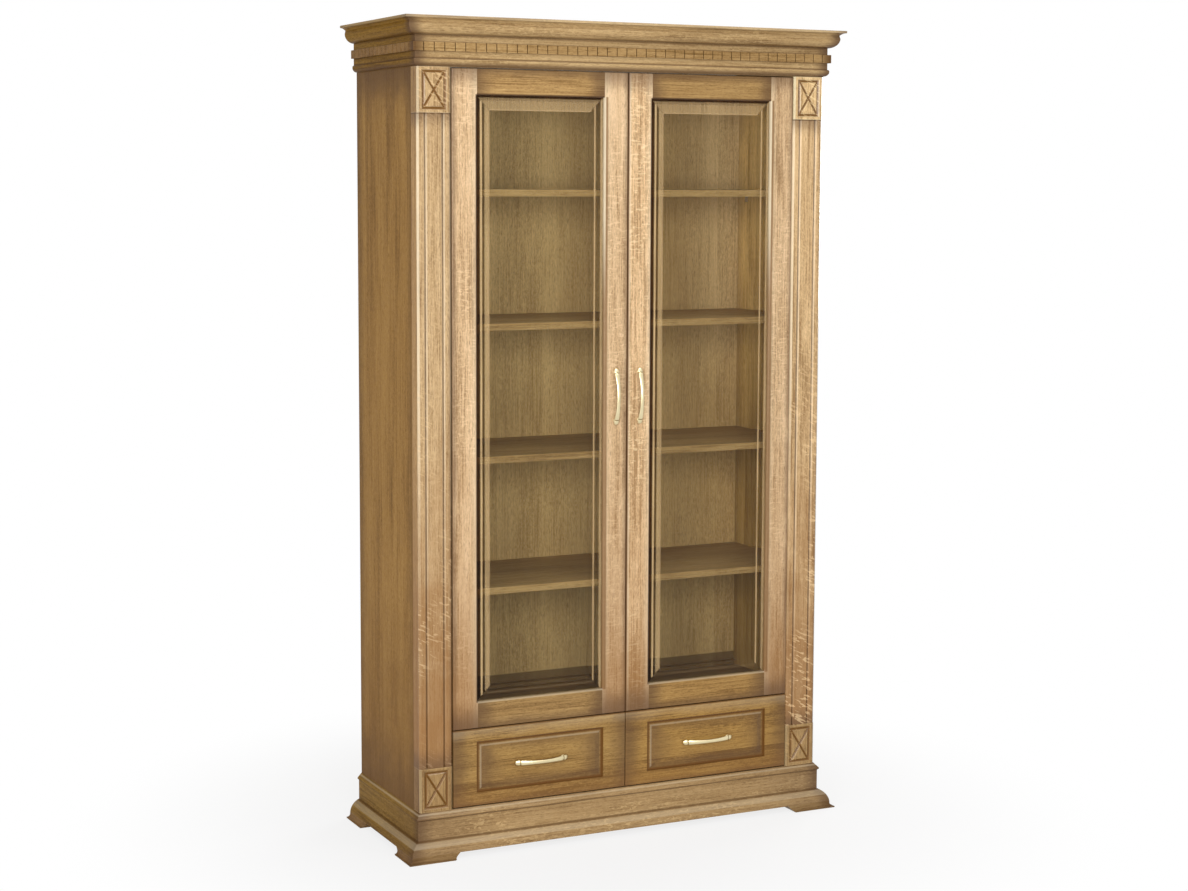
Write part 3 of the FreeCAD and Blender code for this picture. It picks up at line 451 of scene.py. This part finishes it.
def panelMarks(site):  # painted light, paler inside and most of all high up, and a painted shadow outside under the cornice
    wear = panelWear
    inner = 1 if site["node"].startswith("left") else -1
    outside = gap(site, "X", inner).rise(*wear["inside"])
    inside = 1 - outside
    return stains(site, wear["stains"]) + [
        (near(site, *wear["top"]) * outside, patinaAndShade), (inside, wear["insideTint"], "MULTIPLY"),
        (inside * site["Z"].rise(*wear["highFrom"]), wear["highTint"], "MULTIPLY")]


backWear = {
    "inside": (0.001, 0.002),
    "middle": (-0.05, 0.05),
    "cornerAcross": (0.34, 0.54),
    "cornerUp": (1.0, 1.5),
    "cornerTint": (1.25, 1.36, 1.65),
    "rightTint": (0.9, 0.89, 0.88),
    "leftUp": (1.1, 1.4),
    "leftTint": (1.07, 1.1, 1.14),
    "foot": (0.022, 0.025, 0.75),
}


def backMarks(site):  # painted light, paler at the top right and upper left and a little darker on the right, and a painted shadow along the display floor
    wear, across, up = backWear, site["X"], site["Z"]
    inside = 1 - gap(site, "Y", -1).rise(*wear["inside"])
    right = across.rise(*wear["middle"])
    corner = across.rise(*wear["cornerAcross"]) * up.rise(*wear["cornerUp"])
    upperLeft = (1 - right) * up.rise(*wear["leftUp"])
    return [(corner * inside, wear["cornerTint"], "MULTIPLY"),
            (right * inside, wear["rightTint"], "MULTIPLY"),
            (upperLeft * inside, wear["leftTint"], "MULTIPLY"),
            (inside * fade(up - floorTop, *wear["foot"]), glazeAndShade)]


# Mouldings. A lip, edge or saw cut is where it starts, where it ends, and its softness. The dark lines
# between the mouldings, in the saw cuts and at the cornice's foot are glaze, patina and painted shade; the
# pale lines on the lips and edges are painted highlights.
corniceWear = {
    "mitre": (0.003, 0.045, 0.85),
    "lines": [(0.078, 0.006, 0.6, glazeAndShade), (0.021, 0.004, 0.6, glazeAndShade),
              (0.0375, 0.003, 0.25, glazeAndShade), (0.0605, 0.003, 0.5, glazeAndShade)],
    "foot": (0.004, 0.016, 0.7),
    "lip": (0.0005, 0.006, 0.001),
    "lipWorn": 0.2,
    "sawCut": (0.003, 0.0074, 0.0002),
    "frontCuts": 0.75,
    "sideCuts": 0.3,
}


def corniceMarks(site):  # heights above the cornice's foot
    wear = corniceWear
    marks = [(fade(abs(mitre(site)), *wear["mitre"]), patinaAndShade)]
    if site["node"] == "dentil_moulding":  # the saw cuts between the teeth
        return marks + [returnMark(site),
                        (wear["frontCuts"] * gap(site, "Y", -1).within(*wear["sawCut"]), glazeAndShade),
                        (wear["sideCuts"] * closest(site, "X").within(*wear["sawCut"]), glazeAndShade)]
    up = site["Z"] - corniceFoot
    return marks + lines(up, wear["lines"]) + [
        (fade(up, *wear["foot"]), patinaAndShade),
        (wear["lipWorn"] * gap(site, "Z", 1).within(*wear["lip"]), wornAndHighlight)]


plinthWear = {
    "mitres": [(0.003, 0.05, 0.7), (0.03, 0.26, 0.3)],
    "top": (0.1215, 0.1225),
    "topStain": 0.5,
    "lines": [(0.118, 0.003, 0.25, wornAndHighlight), (0.1055, 0.004, 0.55, glazeAndShade), (0.050, 0.004, 0.6, glazeAndShade)],
    "edge": (0.036, 0.046, 0.002),
    "edgeWorn": 0.2,
    "foot": (0, 0.035, 0.35),
}


def plinthMarks(site):  # heights above the floor
    wear, up, corner = plinthWear, site["Z"], abs(mitre(site))
    marks = [returnMark(site)] if site["node"] == "bracket_feet" else []
    marks += [(fade(corner, *row), patinaAndShade) for row in wear["mitres"]]
    marks.append((wear["topStain"] * up.rise(*wear["top"]), patinaAndShade))
    return marks + lines(up, wear["lines"]) + [
        (wear["edgeWorn"] * up.within(*wear["edge"]), wornAndHighlight), (fade(up, *wear["foot"]), patinaAndShade)]


def marksOf(site):  # stain and wear on a piece: mask, colour, and how it is laid
    node = site["node"]
    if node.endswith("_stile"):
        return stileMarks(site)
    if node.endswith("_rail") and "door" in node:
        return railMarks(site)
    if familyOf(node) == "post":
        return postMarks(site)
    if node.endswith("_drawer_front"):
        return drawerMarks(site)
    if node.endswith("side_panel"):
        return panelMarks(site)
    if node == "back_panel":
        return backMarks(site)
    if node in ("cornice_front", "cornice_left", "cornice_right", "dentil_moulding"):
        return corniceMarks(site)
    if node in ("plinth_front", "plinth_left", "plinth_right", "bracket_feet"):
        return plinthMarks(site)
    return []


# Oak's pattern. A layer is its repeats per metre along and across the grain, its number, detail,
# roughness and warp.
oakLayers = {
    "broad": (1.5, 11, 1, 2, 0.5, 0.3),
    "bands": (3.5, 68, 2, 3, 0.6, 0.5),
    "ticks": (75, 240, 3, 2, 0.6, 0.2),
    "fibre": (7, 380, 4, 3, 0.65, 0),
    "pores": (60, 1100, 5, 1, 0.5, 0),
    "patches": (3, 8, 7, 1, 0.5, 0),
    "grit": (190, 330, 9, 1, 0.5, 0),
}
oakFinish = {
    "figure": {"broad": 1.1, "bands": 1.2, "ticks": 0.5},
    "fibre": 1.4,  # this and the grit hold where the family gives none
    "grit": 0.4,
    "tones": (0.15, 0.5, 0.88),  # places of dark, plain and pale wood on the ramp
    "pores": (0.55, 0.68),
    "poreStain": (0.2, 0.5),
    "poreBands": (0.4, 0.62),
    "flecks": (0.57, 0.65),
    "fleckLayer": (6, 1, 0.5),  # number, detail and roughness
    "patches": (0.38, 0.6),  # where the flecks are
    "fleckFade": (0.7, 1.2),  # metres up a post
    "fleckLoss": 0.65,
    "rough": {"base": 0.38, "fibre": 0.16, "pores": 0.2},
    "relief": {"fibre": 0.5, "pores": 0.8, "ticks": 0.4},
    "bump": {"Strength": 0.25, "Distance": 0.0006},
    "coatRough": 0.18,
    "firstBoard": 0.37,
    "boardShift": 9.0,
}


def glueBoards(kind, site, start):  # each glued board has its own tone and run of grain
    make, grain = kind["boards"], kind["grain"]
    if "steps" in make:
        number = "XYZ".index(make["axis"])
        share = gap(site, make["axis"], -1) / (site["high"][number] - site["low"][number])
        own = share.level(make["steps"], "steps")
    else:
        count = site[make["axis"]] / make["width"] + oakFinish["firstBoard"]
        whole = start.node("Math", {"operation": "FLOOR"}, {0: count})
        own = start.node("TexWhiteNoise", {"noise_dimensions": "1D"}, {"W": whole})
    move = start.node("CombineXYZ", None, {grain: own * oakFinish["boardShift"]})
    spot = start.node("VectorMath", {"operation": "ADD"}, {0: site["place"], 1: move})
    return spot, make["contrast"] * (own - 0.5)


def oakLayer(spot, grain, shift, along, across, number, detail, rough, warp):
    return noise(spot, alongGrain(grain, along, across), shift * number, detail, rough, warp)


def oak(node, seed):
    family, finish = familyOf(node), oakFinish
    kind = oakKinds[family]
    grain, wood = kind["grain"], times(kind["wood"], ownTones.get(node, plain))
    shades = {name: times(wood, tone) for name, tone in oakTones.items()}
    look, start = newLook("oak_" + node)
    site = siteOf(node, start, seed)
    shift, spot, tone = site["shift"], site["place"], 0.5
    if "boards" in kind:
        spot, own = glueBoards(kind, site, start)
        tone = tone + own
    layers = {name: oakLayer(spot, grain, shift, *row) for name, row in oakLayers.items()}
    weights = {name: kind["figure"] * weight for name, weight in finish["figure"].items()}
    for name in ("fibre", "grit"):
        weights[name] = kind.get(name, finish[name])
    for name, weight in weights.items():
        tone = tone + weight * (layers[name] - 0.5)
    tones = zip(finish["tones"], (shades["dark"], wood, shades["pale"]))
    colour = start.node("ValToRGB", {"stops": list(tones)}, {0: tone})
    pores = layers["pores"].rise(*finish["pores"])
    low, more = finish["poreStain"]
    colour = colour.tint(pores * (low + more * layers["bands"].rise(*finish["poreBands"])), shades["pore"])
    strength, along, across, warp = kind["fleck"]
    turned = spot
    if "slant" in kind:
        turned = start.node("Mapping", None, {"Vector": spot, "Rotation": (0, kind["slant"], 0)})
    flecks = oakLayer(turned, grain, shift, along, across, *finish["fleckLayer"], warp)
    patches = layers["patches"].rise(*finish["patches"])
    ray, coat = flecks.rise(*finish["flecks"]) * patches * strength, kind["coat"]
    if family != "post":
        colour = colour.tint(ray, shades["fleck"])
    for mask, shade, *mode in marksOf(site):
        colour = colour.tint(mask, shade, *mode)
    if family == "post":  # rays shine through the stain, most of all low down
        front = 1 - postSide(site)
        kept = 1 - finish["fleckLoss"] * gap(site, "Z", -1).rise(*finish["fleckFade"])
        colour = colour.tint(ray * front * kept, shades["fleck"])
        coat = coat * front
    rough, relief, fibre = finish["rough"], finish["relief"], layers["fibre"]
    gloss = rough["base"] + rough["fibre"] * (fibre - 0.5) + rough["pores"] * pores
    height = relief["fibre"] * fibre - relief["pores"] * pores + relief["ticks"] * layers["ticks"]
    bump = start.node("Bump", None, {**finish["bump"], "Height": height})
    surface = start.node("BsdfPrincipled", None, {
        "Base Color": colour, "Roughness": gloss, "Normal": bump, "Specular IOR Level": kind["shine"],
        "Coat Weight": coat, "Coat Roughness": finish["coatRough"]})
    start.node("OutputMaterial", None, {"Surface": surface})
    return look


brassFinish = {"colour": (0.79, 0.69, 0.43), "dull": (0.74, 0.63, 0.38),
               "tarnish": (0.24, 0.16, 0.06), "rough": 0.3}
steelFinish = {"colour": (0.66, 0.66, 0.67), "dull": (0.52, 0.52, 0.54),
               "tarnish": (0.3, 0.3, 0.3), "rough": 0.28}
# Wear of both metals. The cloud and the scuffs are repeats per metre and a shift.
metalWear = {
    "cloud": ((40, 40, 40), (3, 5, 7)),
    "scuffs": ((700, 700, 160), (1, 2, 3)),
    "dullTo": 0.3,
    "brightFrom": 0.65,
    "under": (0.35, 0.7),
    "tarnished": 0.9,
    "cloudRough": 0.1,
    "scuffRough": 0.05,
    "bump": {"Strength": 0.015, "Distance": 0.0003},
}


def metal(name, finish):
    wear = metalWear
    look, start = newLook(name)
    place = start.node("TexCoord", out="Object")
    cloud, scuffs = noise(place, *wear["cloud"]), noise(place, *wear["scuffs"])
    tones = [(wear["dullTo"], finish["dull"]), (wear["brightFrom"], finish["colour"])]
    colour = start.node("ValToRGB", {"stops": tones}, {0: cloud})
    under = start.node("Attribute", {"attribute_name": "under"}, out="Fac")  # 1 on a bow's back and in its collars, darkened there by painted shade and tarnish
    colour = colour.tint(wear["tarnished"] * under.rise(*wear["under"]), finish["tarnish"])
    rough = finish["rough"] + wear["cloudRough"] * (cloud - 0.5) + wear["scuffRough"] * (scuffs - 0.5)
    bump = start.node("Bump", None, {**wear["bump"], "Height": scuffs})
    surface = start.node("BsdfPrincipled", None, {
        "Base Color": colour, "Metallic": 1, "Roughness": rough, "Normal": bump})
    start.node("OutputMaterial", None, {"Surface": surface})
    return look


glassPane = {
    "through": (0.93, 0.95, 0.93, 1),
    "shine": (0.15, 0.15, 0.15, 1),
    "waves": ((6, 6, 6), (2, 4, 8), 1),  # repeats, shift and detail
    "bump": {"Strength": 0.02, "Distance": 0.002},
    # streaks in the painted reflection on the bevels
    "streaks": (300, 1, 6),
    "streakEdge": (0.3, 0.7),
    "streakPale": (0.6, 0.6),
}
# Bevelled border of a pane, as shares of its width in from the glass's edge: where it is painted dark as
# shade and where pale as reflection, for the bevel on each side.
glassBorder = {
    "width": 0.05,
    "seam": (0.0002, 0.001),
    "mitre": (0.2, 0.9),
    "mitreDark": 0.5,
    "end": (0.9, 0.95),
    "darkest": 0.95,
    "tint": [(0, (0.90, 0.93, 0.90)), (1, (0.15, 0.075, 0.025))],
    "haze": (0.66, 0.45, 0.23, 1),
    "dark": {
        ("X", -1): [(0.18, 0.95), (0.38, 0.92), (0.43, 0), (0.54, 0), (0.57, 0.6), (0.63, 0.6), (0.67, 0)],
        ("X", 1): [(0.36, 0), (0.39, 0.15), (0.52, 0.15), (0.55, 0), (0.66, 0.1), (0.93, 0.1), (0.95, 0)],
        ("Z", 1): [(0.27, 0.92), (0.31, 0.35), (0.42, 0.35), (0.46, 0)],
        ("Z", -1): [(0.2, 0.4), (0.25, 0.12), (0.5, 0.12), (0.54, 0)],
    },
    "pale": {
        ("X", -1): [(0.42, 0), (0.45, 0.55), (0.51, 0.55), (0.54, 0), (0.66, 0), (0.69, 0.26), (0.93, 0.26),
                    (0.95, 0)],
        ("X", 1): [(0.22, 0.05), (0.25, 0.28), (0.31, 0.28), (0.34, 0), (0.60, 0), (0.63, 0.42),
                   (0.68, 0.42), (0.71, 0)],
        ("Z", 1): [(0.29, 0), (0.33, 0.16), (0.51, 0.2), (0.86, 0.22), (0.90, 0.32), (0.93, 0.32), (0.95, 0)],
        ("Z", -1): [(0.53, 0), (0.56, 0.06), (0.62, 0.06), (0.65, 0)],
    },
}


def bevelledGlass(node, seed):  # refracts what is seen, and lets the light in without a caustic; the bevels' dark and pale bands are painted shade and painted reflections
    pane, border = glassPane, glassBorder
    look, start = newLook("glass_" + node)
    site = siteOf(node, start, seed)
    sides = {side: gap(site, *side) for side in border["dark"]}
    nearest = closest(site, "X").least(closest(site, "Z"))
    share = nearest / border["width"]
    dark, pale, touching = 0, 0, 0
    for side, distance in sides.items():
        here = 1 - (distance - nearest).rise(*border["seam"])
        dark = dark + here * share.level(border["dark"][side])
        pale = pale + here * share.level(border["pale"][side])
        touching = touching + here
    corner = (touching - 1).rise(*border["mitre"]) * (1 - share.rise(*border["end"]))  # of two bevels
    streaks = noise(site["place"], pane["streaks"], site["shift"]).rise(*pane["streakEdge"])
    dark = dark.most(border["mitreDark"] * corner).least(border["darkest"])
    low, more = pane["streakPale"]
    pale = pale * (1 - corner) * (low + more * streaks)
    waves = noise(site["place"], *pane["waves"])
    bump = start.node("Bump", None, {**pane["bump"], "Height": waves})
    colour = start.node("ValToRGB", {"stops": border["tint"]}, {0: dark})
    clear = start.node("BsdfPrincipled", None, {
        "Base Color": colour, "Roughness": 0, "IOR": 1.5, "Transmission Weight": 1,
        "Specular Tint": pane["shine"], "Normal": bump})
    haze = start.node("BsdfPrincipled", None, {
        "Base Color": border["haze"], "Roughness": 0.6, "Specular IOR Level": 0.1})
    body = start.node("MixShader", None, {0: pale, 1: clear, 2: haze})
    through = start.node("BsdfTransparent", None, {"Color": pane["through"]})
    shadow = start.node("LightPath", out="Is Shadow Ray")
    lit = shadow.most(start.node("LightPath", out="Is Diffuse Ray"))
    both = start.node("MixShader", None, {0: lit, 1: body, 2: through})
    start.node("OutputMaterial", None, {"Surface": both})
    return look


brass = metal("polished_brass", brassFinish)
steel = metal("plated_steel", steelFinish)
for seed, name in enumerate(sorted(nodes), 1):
    if slotOf[name] in ("brass", "steel"):
        look = brass if slotOf[name] == "brass" else steel
    else:
        look = bevelledGlass(name, seed) if slotOf[name] == "glass" else oak(name, seed)
    nodes[name].data.materials.clear()
    nodes[name].data.materials.append(look)
print("finishes laid on", len(nodes), "pieces")


def addPiece(name, shape, look, body):
    mesh = bpy.data.meshes.new(name)
    shape.to_mesh(mesh)
    shape.free()
    mesh.materials.append(look)
    piece = bpy.data.objects.new(name, mesh)
    bpy.context.scene.collection.objects.link(piece)
    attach(piece, body)
    return piece


# Carved block: chamfer of its edges, flat border, and the V cuts that ring and cross its field. The
# last two tell its front edges and its front face from the others.
carvedBlock = {"chamfer": 0.005, "border": 0.006, "ring": 0.006, "cross": 0.005, "deep": 0.0045,
               "same": 1e-6, "facing": -0.99}


def blockShape(low, high):
    make, shape = carvedBlock, bmesh.new()
    bmesh.ops.create_cube(shape, size=1)
    bmesh.ops.scale(shape, vec=high - low, verts=shape.verts[:])
    bmesh.ops.translate(shape, vec=(high + low) / 2, verts=shape.verts[:])
    corners = []
    for edge in shape.edges:  # the two upright edges in front
        first, second = (vert.co for vert in edge.verts)
        upright = abs(first.x - second.x) < make["same"]
        if upright and max(first.y, second.y) - low.y < make["same"]:
            corners.append(edge)
    bmesh.ops.bevel(shape, geom=corners, offset=make["chamfer"], offset_type="OFFSET",
                    affect="EDGES", segments=1, profile=0.5, material=-1)
    shape.normal_update()
    field = [face for face in shape.faces if face.normal.y < make["facing"]]
    bmesh.ops.inset_region(shape, faces=field, thickness=make["border"], use_even_offset=True)
    bmesh.ops.inset_region(shape, faces=field, thickness=make["ring"], depth=-make["deep"],
                           use_even_offset=True)
    fields = bmesh.ops.poke(shape, faces=field)["faces"]  # four fields meet in the cross
    bmesh.ops.inset_individual(shape, faces=fields, thickness=make["cross"], depth=make["deep"],
                               use_even_offset=True)
    bmesh.ops.recalc_face_normals(shape, faces=shape.faces[:])
    return shape


for name in sorted(nodes):
    if name.endswith("_block"):
        look = nodes[name].data.materials[0]
        carved = addPiece(name + "_carved", blockShape(*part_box(name)), look, "cabinet")
        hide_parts(name)
print("blocks carved")


# Bow handle in millimetres: sections along its half length as (distance from the middle, width,
# thickness), the tip's place and height, the dark collar from end to end, the bow's rise, the feet's
# distance from the middle and their outline from the axis. The last four rule the mesh.
bowHandle = {
    "sections": [(0, 9.2, 6.0), (22, 9.7, 5.9), (42, 11.2, 5.6), (55, 12.8, 5.2), (60, 13.2, 5.0),
                 (61.4, 10.8, 3.8), (62.8, 10.8, 3.8), (64.4, 12.8, 5.4), (68.5, 13.5, 6.2),
                 (72, 12.6, 5.8), (74.4, 9.2, 4.4), (75.7, 4.6, 2.2), (76, 0.6, 0.4)],
    "tip": (76, 2.5),
    "collar": (61, 63.2),
    "rise": 21,
    "pitch": 64,
    "foot": [(0, 0), (6.2, 0), (6.4, 0.6), (6.2, 1.6), (5.2, 2.4), (4.5, 3.4), (4.2, 5), (4.2, 7.5),
             (0, 7.5)],
    "round": 24,
    "steps": 120,
    "footSteps": 32,
    "merge": 0.001,
}
millimetre = 0.001


def sectionAt(distance):
    rows = bowHandle["sections"]
    for first, second in zip(rows, rows[1:]):
        if distance <= second[0]:
            share = (distance - first[0]) / (second[0] - first[0])
            share = share * share * (3 - 2 * share)
            return [a + (b - a) * share for a, b in zip(first[1:], second[1:])]
    return rows[-1][1:]


def bowShape(turn, spot):
    reach, low = bowHandle["tip"]
    sag = bowHandle["rise"] - low
    radius = (reach * reach + sag * sag) / (2 * sag)
    half = math.asin(reach / radius)
    centre = Vector((0, radius - bowHandle["rise"], 0))
    shape = bmesh.new()
    under = shape.verts.layers.float.new("under")
    ring = bmesh.ops.create_circle(shape, radius=1, segments=bowHandle["round"])["verts"]
    bmesh.ops.rotate(shape, verts=ring, cent=(0, 0, 0), matrix=Matrix.Rotation(math.pi / 2, 3, "Y"))
    bmesh.ops.translate(shape, verts=ring, vec=(0, -bowHandle["rise"], 0))
    bmesh.ops.rotate(shape, verts=ring, cent=centre, matrix=Matrix.Rotation(-half, 3, "Z"))
    bmesh.ops.spin(shape, geom=shape.edges[:], cent=centre, axis=(0, 0, 1), angle=2 * half,
                   steps=bowHandle["steps"], use_merge=False)
    for vert in shape.verts:  # the tube takes the width and thickness of its section
        arm = vert.co - centre
        arm.z = 0
        distance = abs(radius * arm.x / arm.length)
        width, thick = sectionAt(distance)
        collar = bowHandle["collar"][0] < distance < bowHandle["collar"][1]
        vert[under] = 1 if collar else (1 + radius - arm.length) / 2
        flat = radius + (arm.length - radius) * thick / 2
        vert.co = centre + arm.normalized() * flat + Vector((0, 0, vert.co.z * width / 2))
    bmesh.ops.holes_fill(shape, edges=shape.edges[:], sides=0)
    for side in (-1, 1):
        before = set(shape.verts)
        points = [shape.verts.new((out, -up, 0)) for out, up in bowHandle["foot"]]
        rim = [shape.edges.new(pair) for pair in zip(points, points[1:])]
        bmesh.ops.spin(shape, geom=points + rim, cent=(0, 0, 0), axis=(0, 1, 0),
                       angle=2 * math.pi, steps=bowHandle["footSteps"], use_merge=True)
        foot = list(set(shape.verts) - before)
        bmesh.ops.translate(shape, verts=foot, vec=(side * bowHandle["pitch"], 0, 0))
    bmesh.ops.remove_doubles(shape, verts=shape.verts[:], dist=bowHandle["merge"])
    bmesh.ops.scale(shape, verts=shape.verts[:], vec=(millimetre, millimetre, millimetre))
    bmesh.ops.recalc_face_normals(shape, faces=shape.faces[:])
    bmesh.ops.transform(shape, matrix=Matrix.Translation(spot) @ turn, verts=shape.verts[:])
    for face in shape.faces:
        face.smooth = True
    return shape


for name in sorted(nodes):
    if slotOf[name] != "brass":
        continue
    low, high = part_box(name)
    upright = high.z - low.z > high.x - low.x
    turn = Matrix.Rotation(math.pi / 2, 4, "Y") if upright else Matrix.Identity(4)
    spot = Vector(((low.x + high.x) / 2, high.y, (low.z + high.z) / 2))
    body = name.rsplit("_", 1)[0]
    bow = addPiece(name + "_bow", bowShape(turn, spot), brass, body)
    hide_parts(name)
print("handles made")


# Floor, light and camera. The floor is white beyond the cabinet's own shadow.
studio = {
    "floor": (0.8, 0.8, 0.8, 1),
    "floorSize": 30,
    "mottle": ((3, 3, 3), (1, 2, 3)),
    "rough": (0.6, 0.1),  # least, and how much more
    "pale": (0.8, 0.2),
    "whiteFrom": (0.6, 1.5),
    "white": (1, 1, 1, 1),
    "ambient": 0.3,
}
lamps = {
    "key": {"at": (-1.6, -4.9, 2.0), "to": (0, 0, 1.3), "size": (2.2, 1.8), "power": 92},
    "left": {"at": (-3.9, -4.3, 2.1), "to": (0, 0, 1.3), "size": (1.4, 1.8), "power": 92},
    "top": {"at": (0.3, -2.4, 4.6), "to": (0, -0.1, 1.2), "size": (3.0, 1.2), "power": 45},
    "edge": {"at": (-5.0, -2.4, 1.7), "to": (0, 0, 1.2), "size": (0.4, 3.0), "power": 45},
    "behind": {"at": (4.4, 2.8, 2.3), "to": (0.2, 0.2, 1.1), "size": (2.5, 2.5), "power": 130},
}
view = {"at": (-2.617, -5.372, 1.750), "tilt": 5.932, "turn": 25.955, "roll": 0.227,
        "lens": 66.519, "sensor": 36, "shift": (0, -0.03)}  # angles in degrees


def seen(start):  # 1 where the eye, a reflection or a refraction looks
    eye, gloss, glass = (start.node("LightPath", out=name) for name in (
        "Is Camera Ray", "Is Glossy Ray", "Is Transmission Ray"))
    return eye.most(gloss).most(glass)


def floorPlane():
    look, start = newLook("pale_floor")
    place = start.node("TexCoord", out="Object")
    mottle = noise(place, *studio["mottle"])
    rough, more = studio["rough"]
    dull = start.node("BsdfPrincipled", None, {
        "Base Color": studio["floor"], "Roughness": rough + more * mottle, "Specular IOR Level": 0.1})
    glow = start.node("Emission", None, {"Color": studio["white"], "Strength": 1})
    away = start.node("VectorMath", {"operation": "LENGTH"}, {0: place}, "Value")
    low, rest = studio["pale"]
    pale = low + rest * away.rise(*studio["whiteFrom"])
    both = start.node("MixShader", None, {0: seen(start) * pale, 1: dull, 2: glow})
    start.node("OutputMaterial", None, {"Surface": both})
    shape = bmesh.new()
    bmesh.ops.create_grid(shape, x_segments=2, y_segments=2, size=studio["floorSize"])
    mesh = bpy.data.meshes.new("floor")
    shape.to_mesh(mesh)
    shape.free()
    mesh.materials.append(look)
    floor = bpy.data.objects.new("floor", mesh)
    bpy.context.scene.collection.objects.link(floor)


def lamp(name, make):
    light = bpy.data.lights.new(name, "AREA")
    light.shape = "RECTANGLE"
    light.size, light.size_y = make["size"]
    light.energy = make["power"]
    holder = bpy.data.objects.new(name, light)
    holder.location = make["at"]
    aim = Vector(make["to"]) - Vector(make["at"])
    holder.rotation_euler = aim.to_track_quat("-Z", "Y").to_euler()
    bpy.context.scene.collection.objects.link(holder)


floorPlane()
for name, make in lamps.items():
    lamp(name, make)

world = bpy.data.worlds.new("studio")
world.use_nodes = True
world.node_tree.nodes.clear()
start = Wire(world.node_tree)
white = start.node("Background", None, {"Color": studio["white"], "Strength": 1})
soft = start.node("Background", None, {"Color": studio["white"], "Strength": studio["ambient"]})
both = start.node("MixShader", None, {0: seen(start), 1: soft, 2: white})
start.node("OutputWorld", None, {"Surface": both})
bpy.context.scene.world = world

camera = bpy.data.cameras.new("photo_view")
camera.lens = view["lens"]
camera.sensor_width = view["sensor"]
camera.shift_x, camera.shift_y = view["shift"]
holder = bpy.data.objects.new("photo_view", camera)
holder.location = view["at"]
turns = [Matrix.Rotation(math.radians(angle), 3, axis) for angle, axis in (
    (-view["turn"], "Z"), (90 - view["tilt"], "X"), (view["roll"], "Z"))]
holder.rotation_euler = (turns[0] @ turns[1] @ turns[2]).to_euler()
bpy.context.scene.collection.objects.link(holder)
bpy.context.scene.camera = holder
bpy.context.scene.view_settings.view_transform = "Standard"
print("studio set")
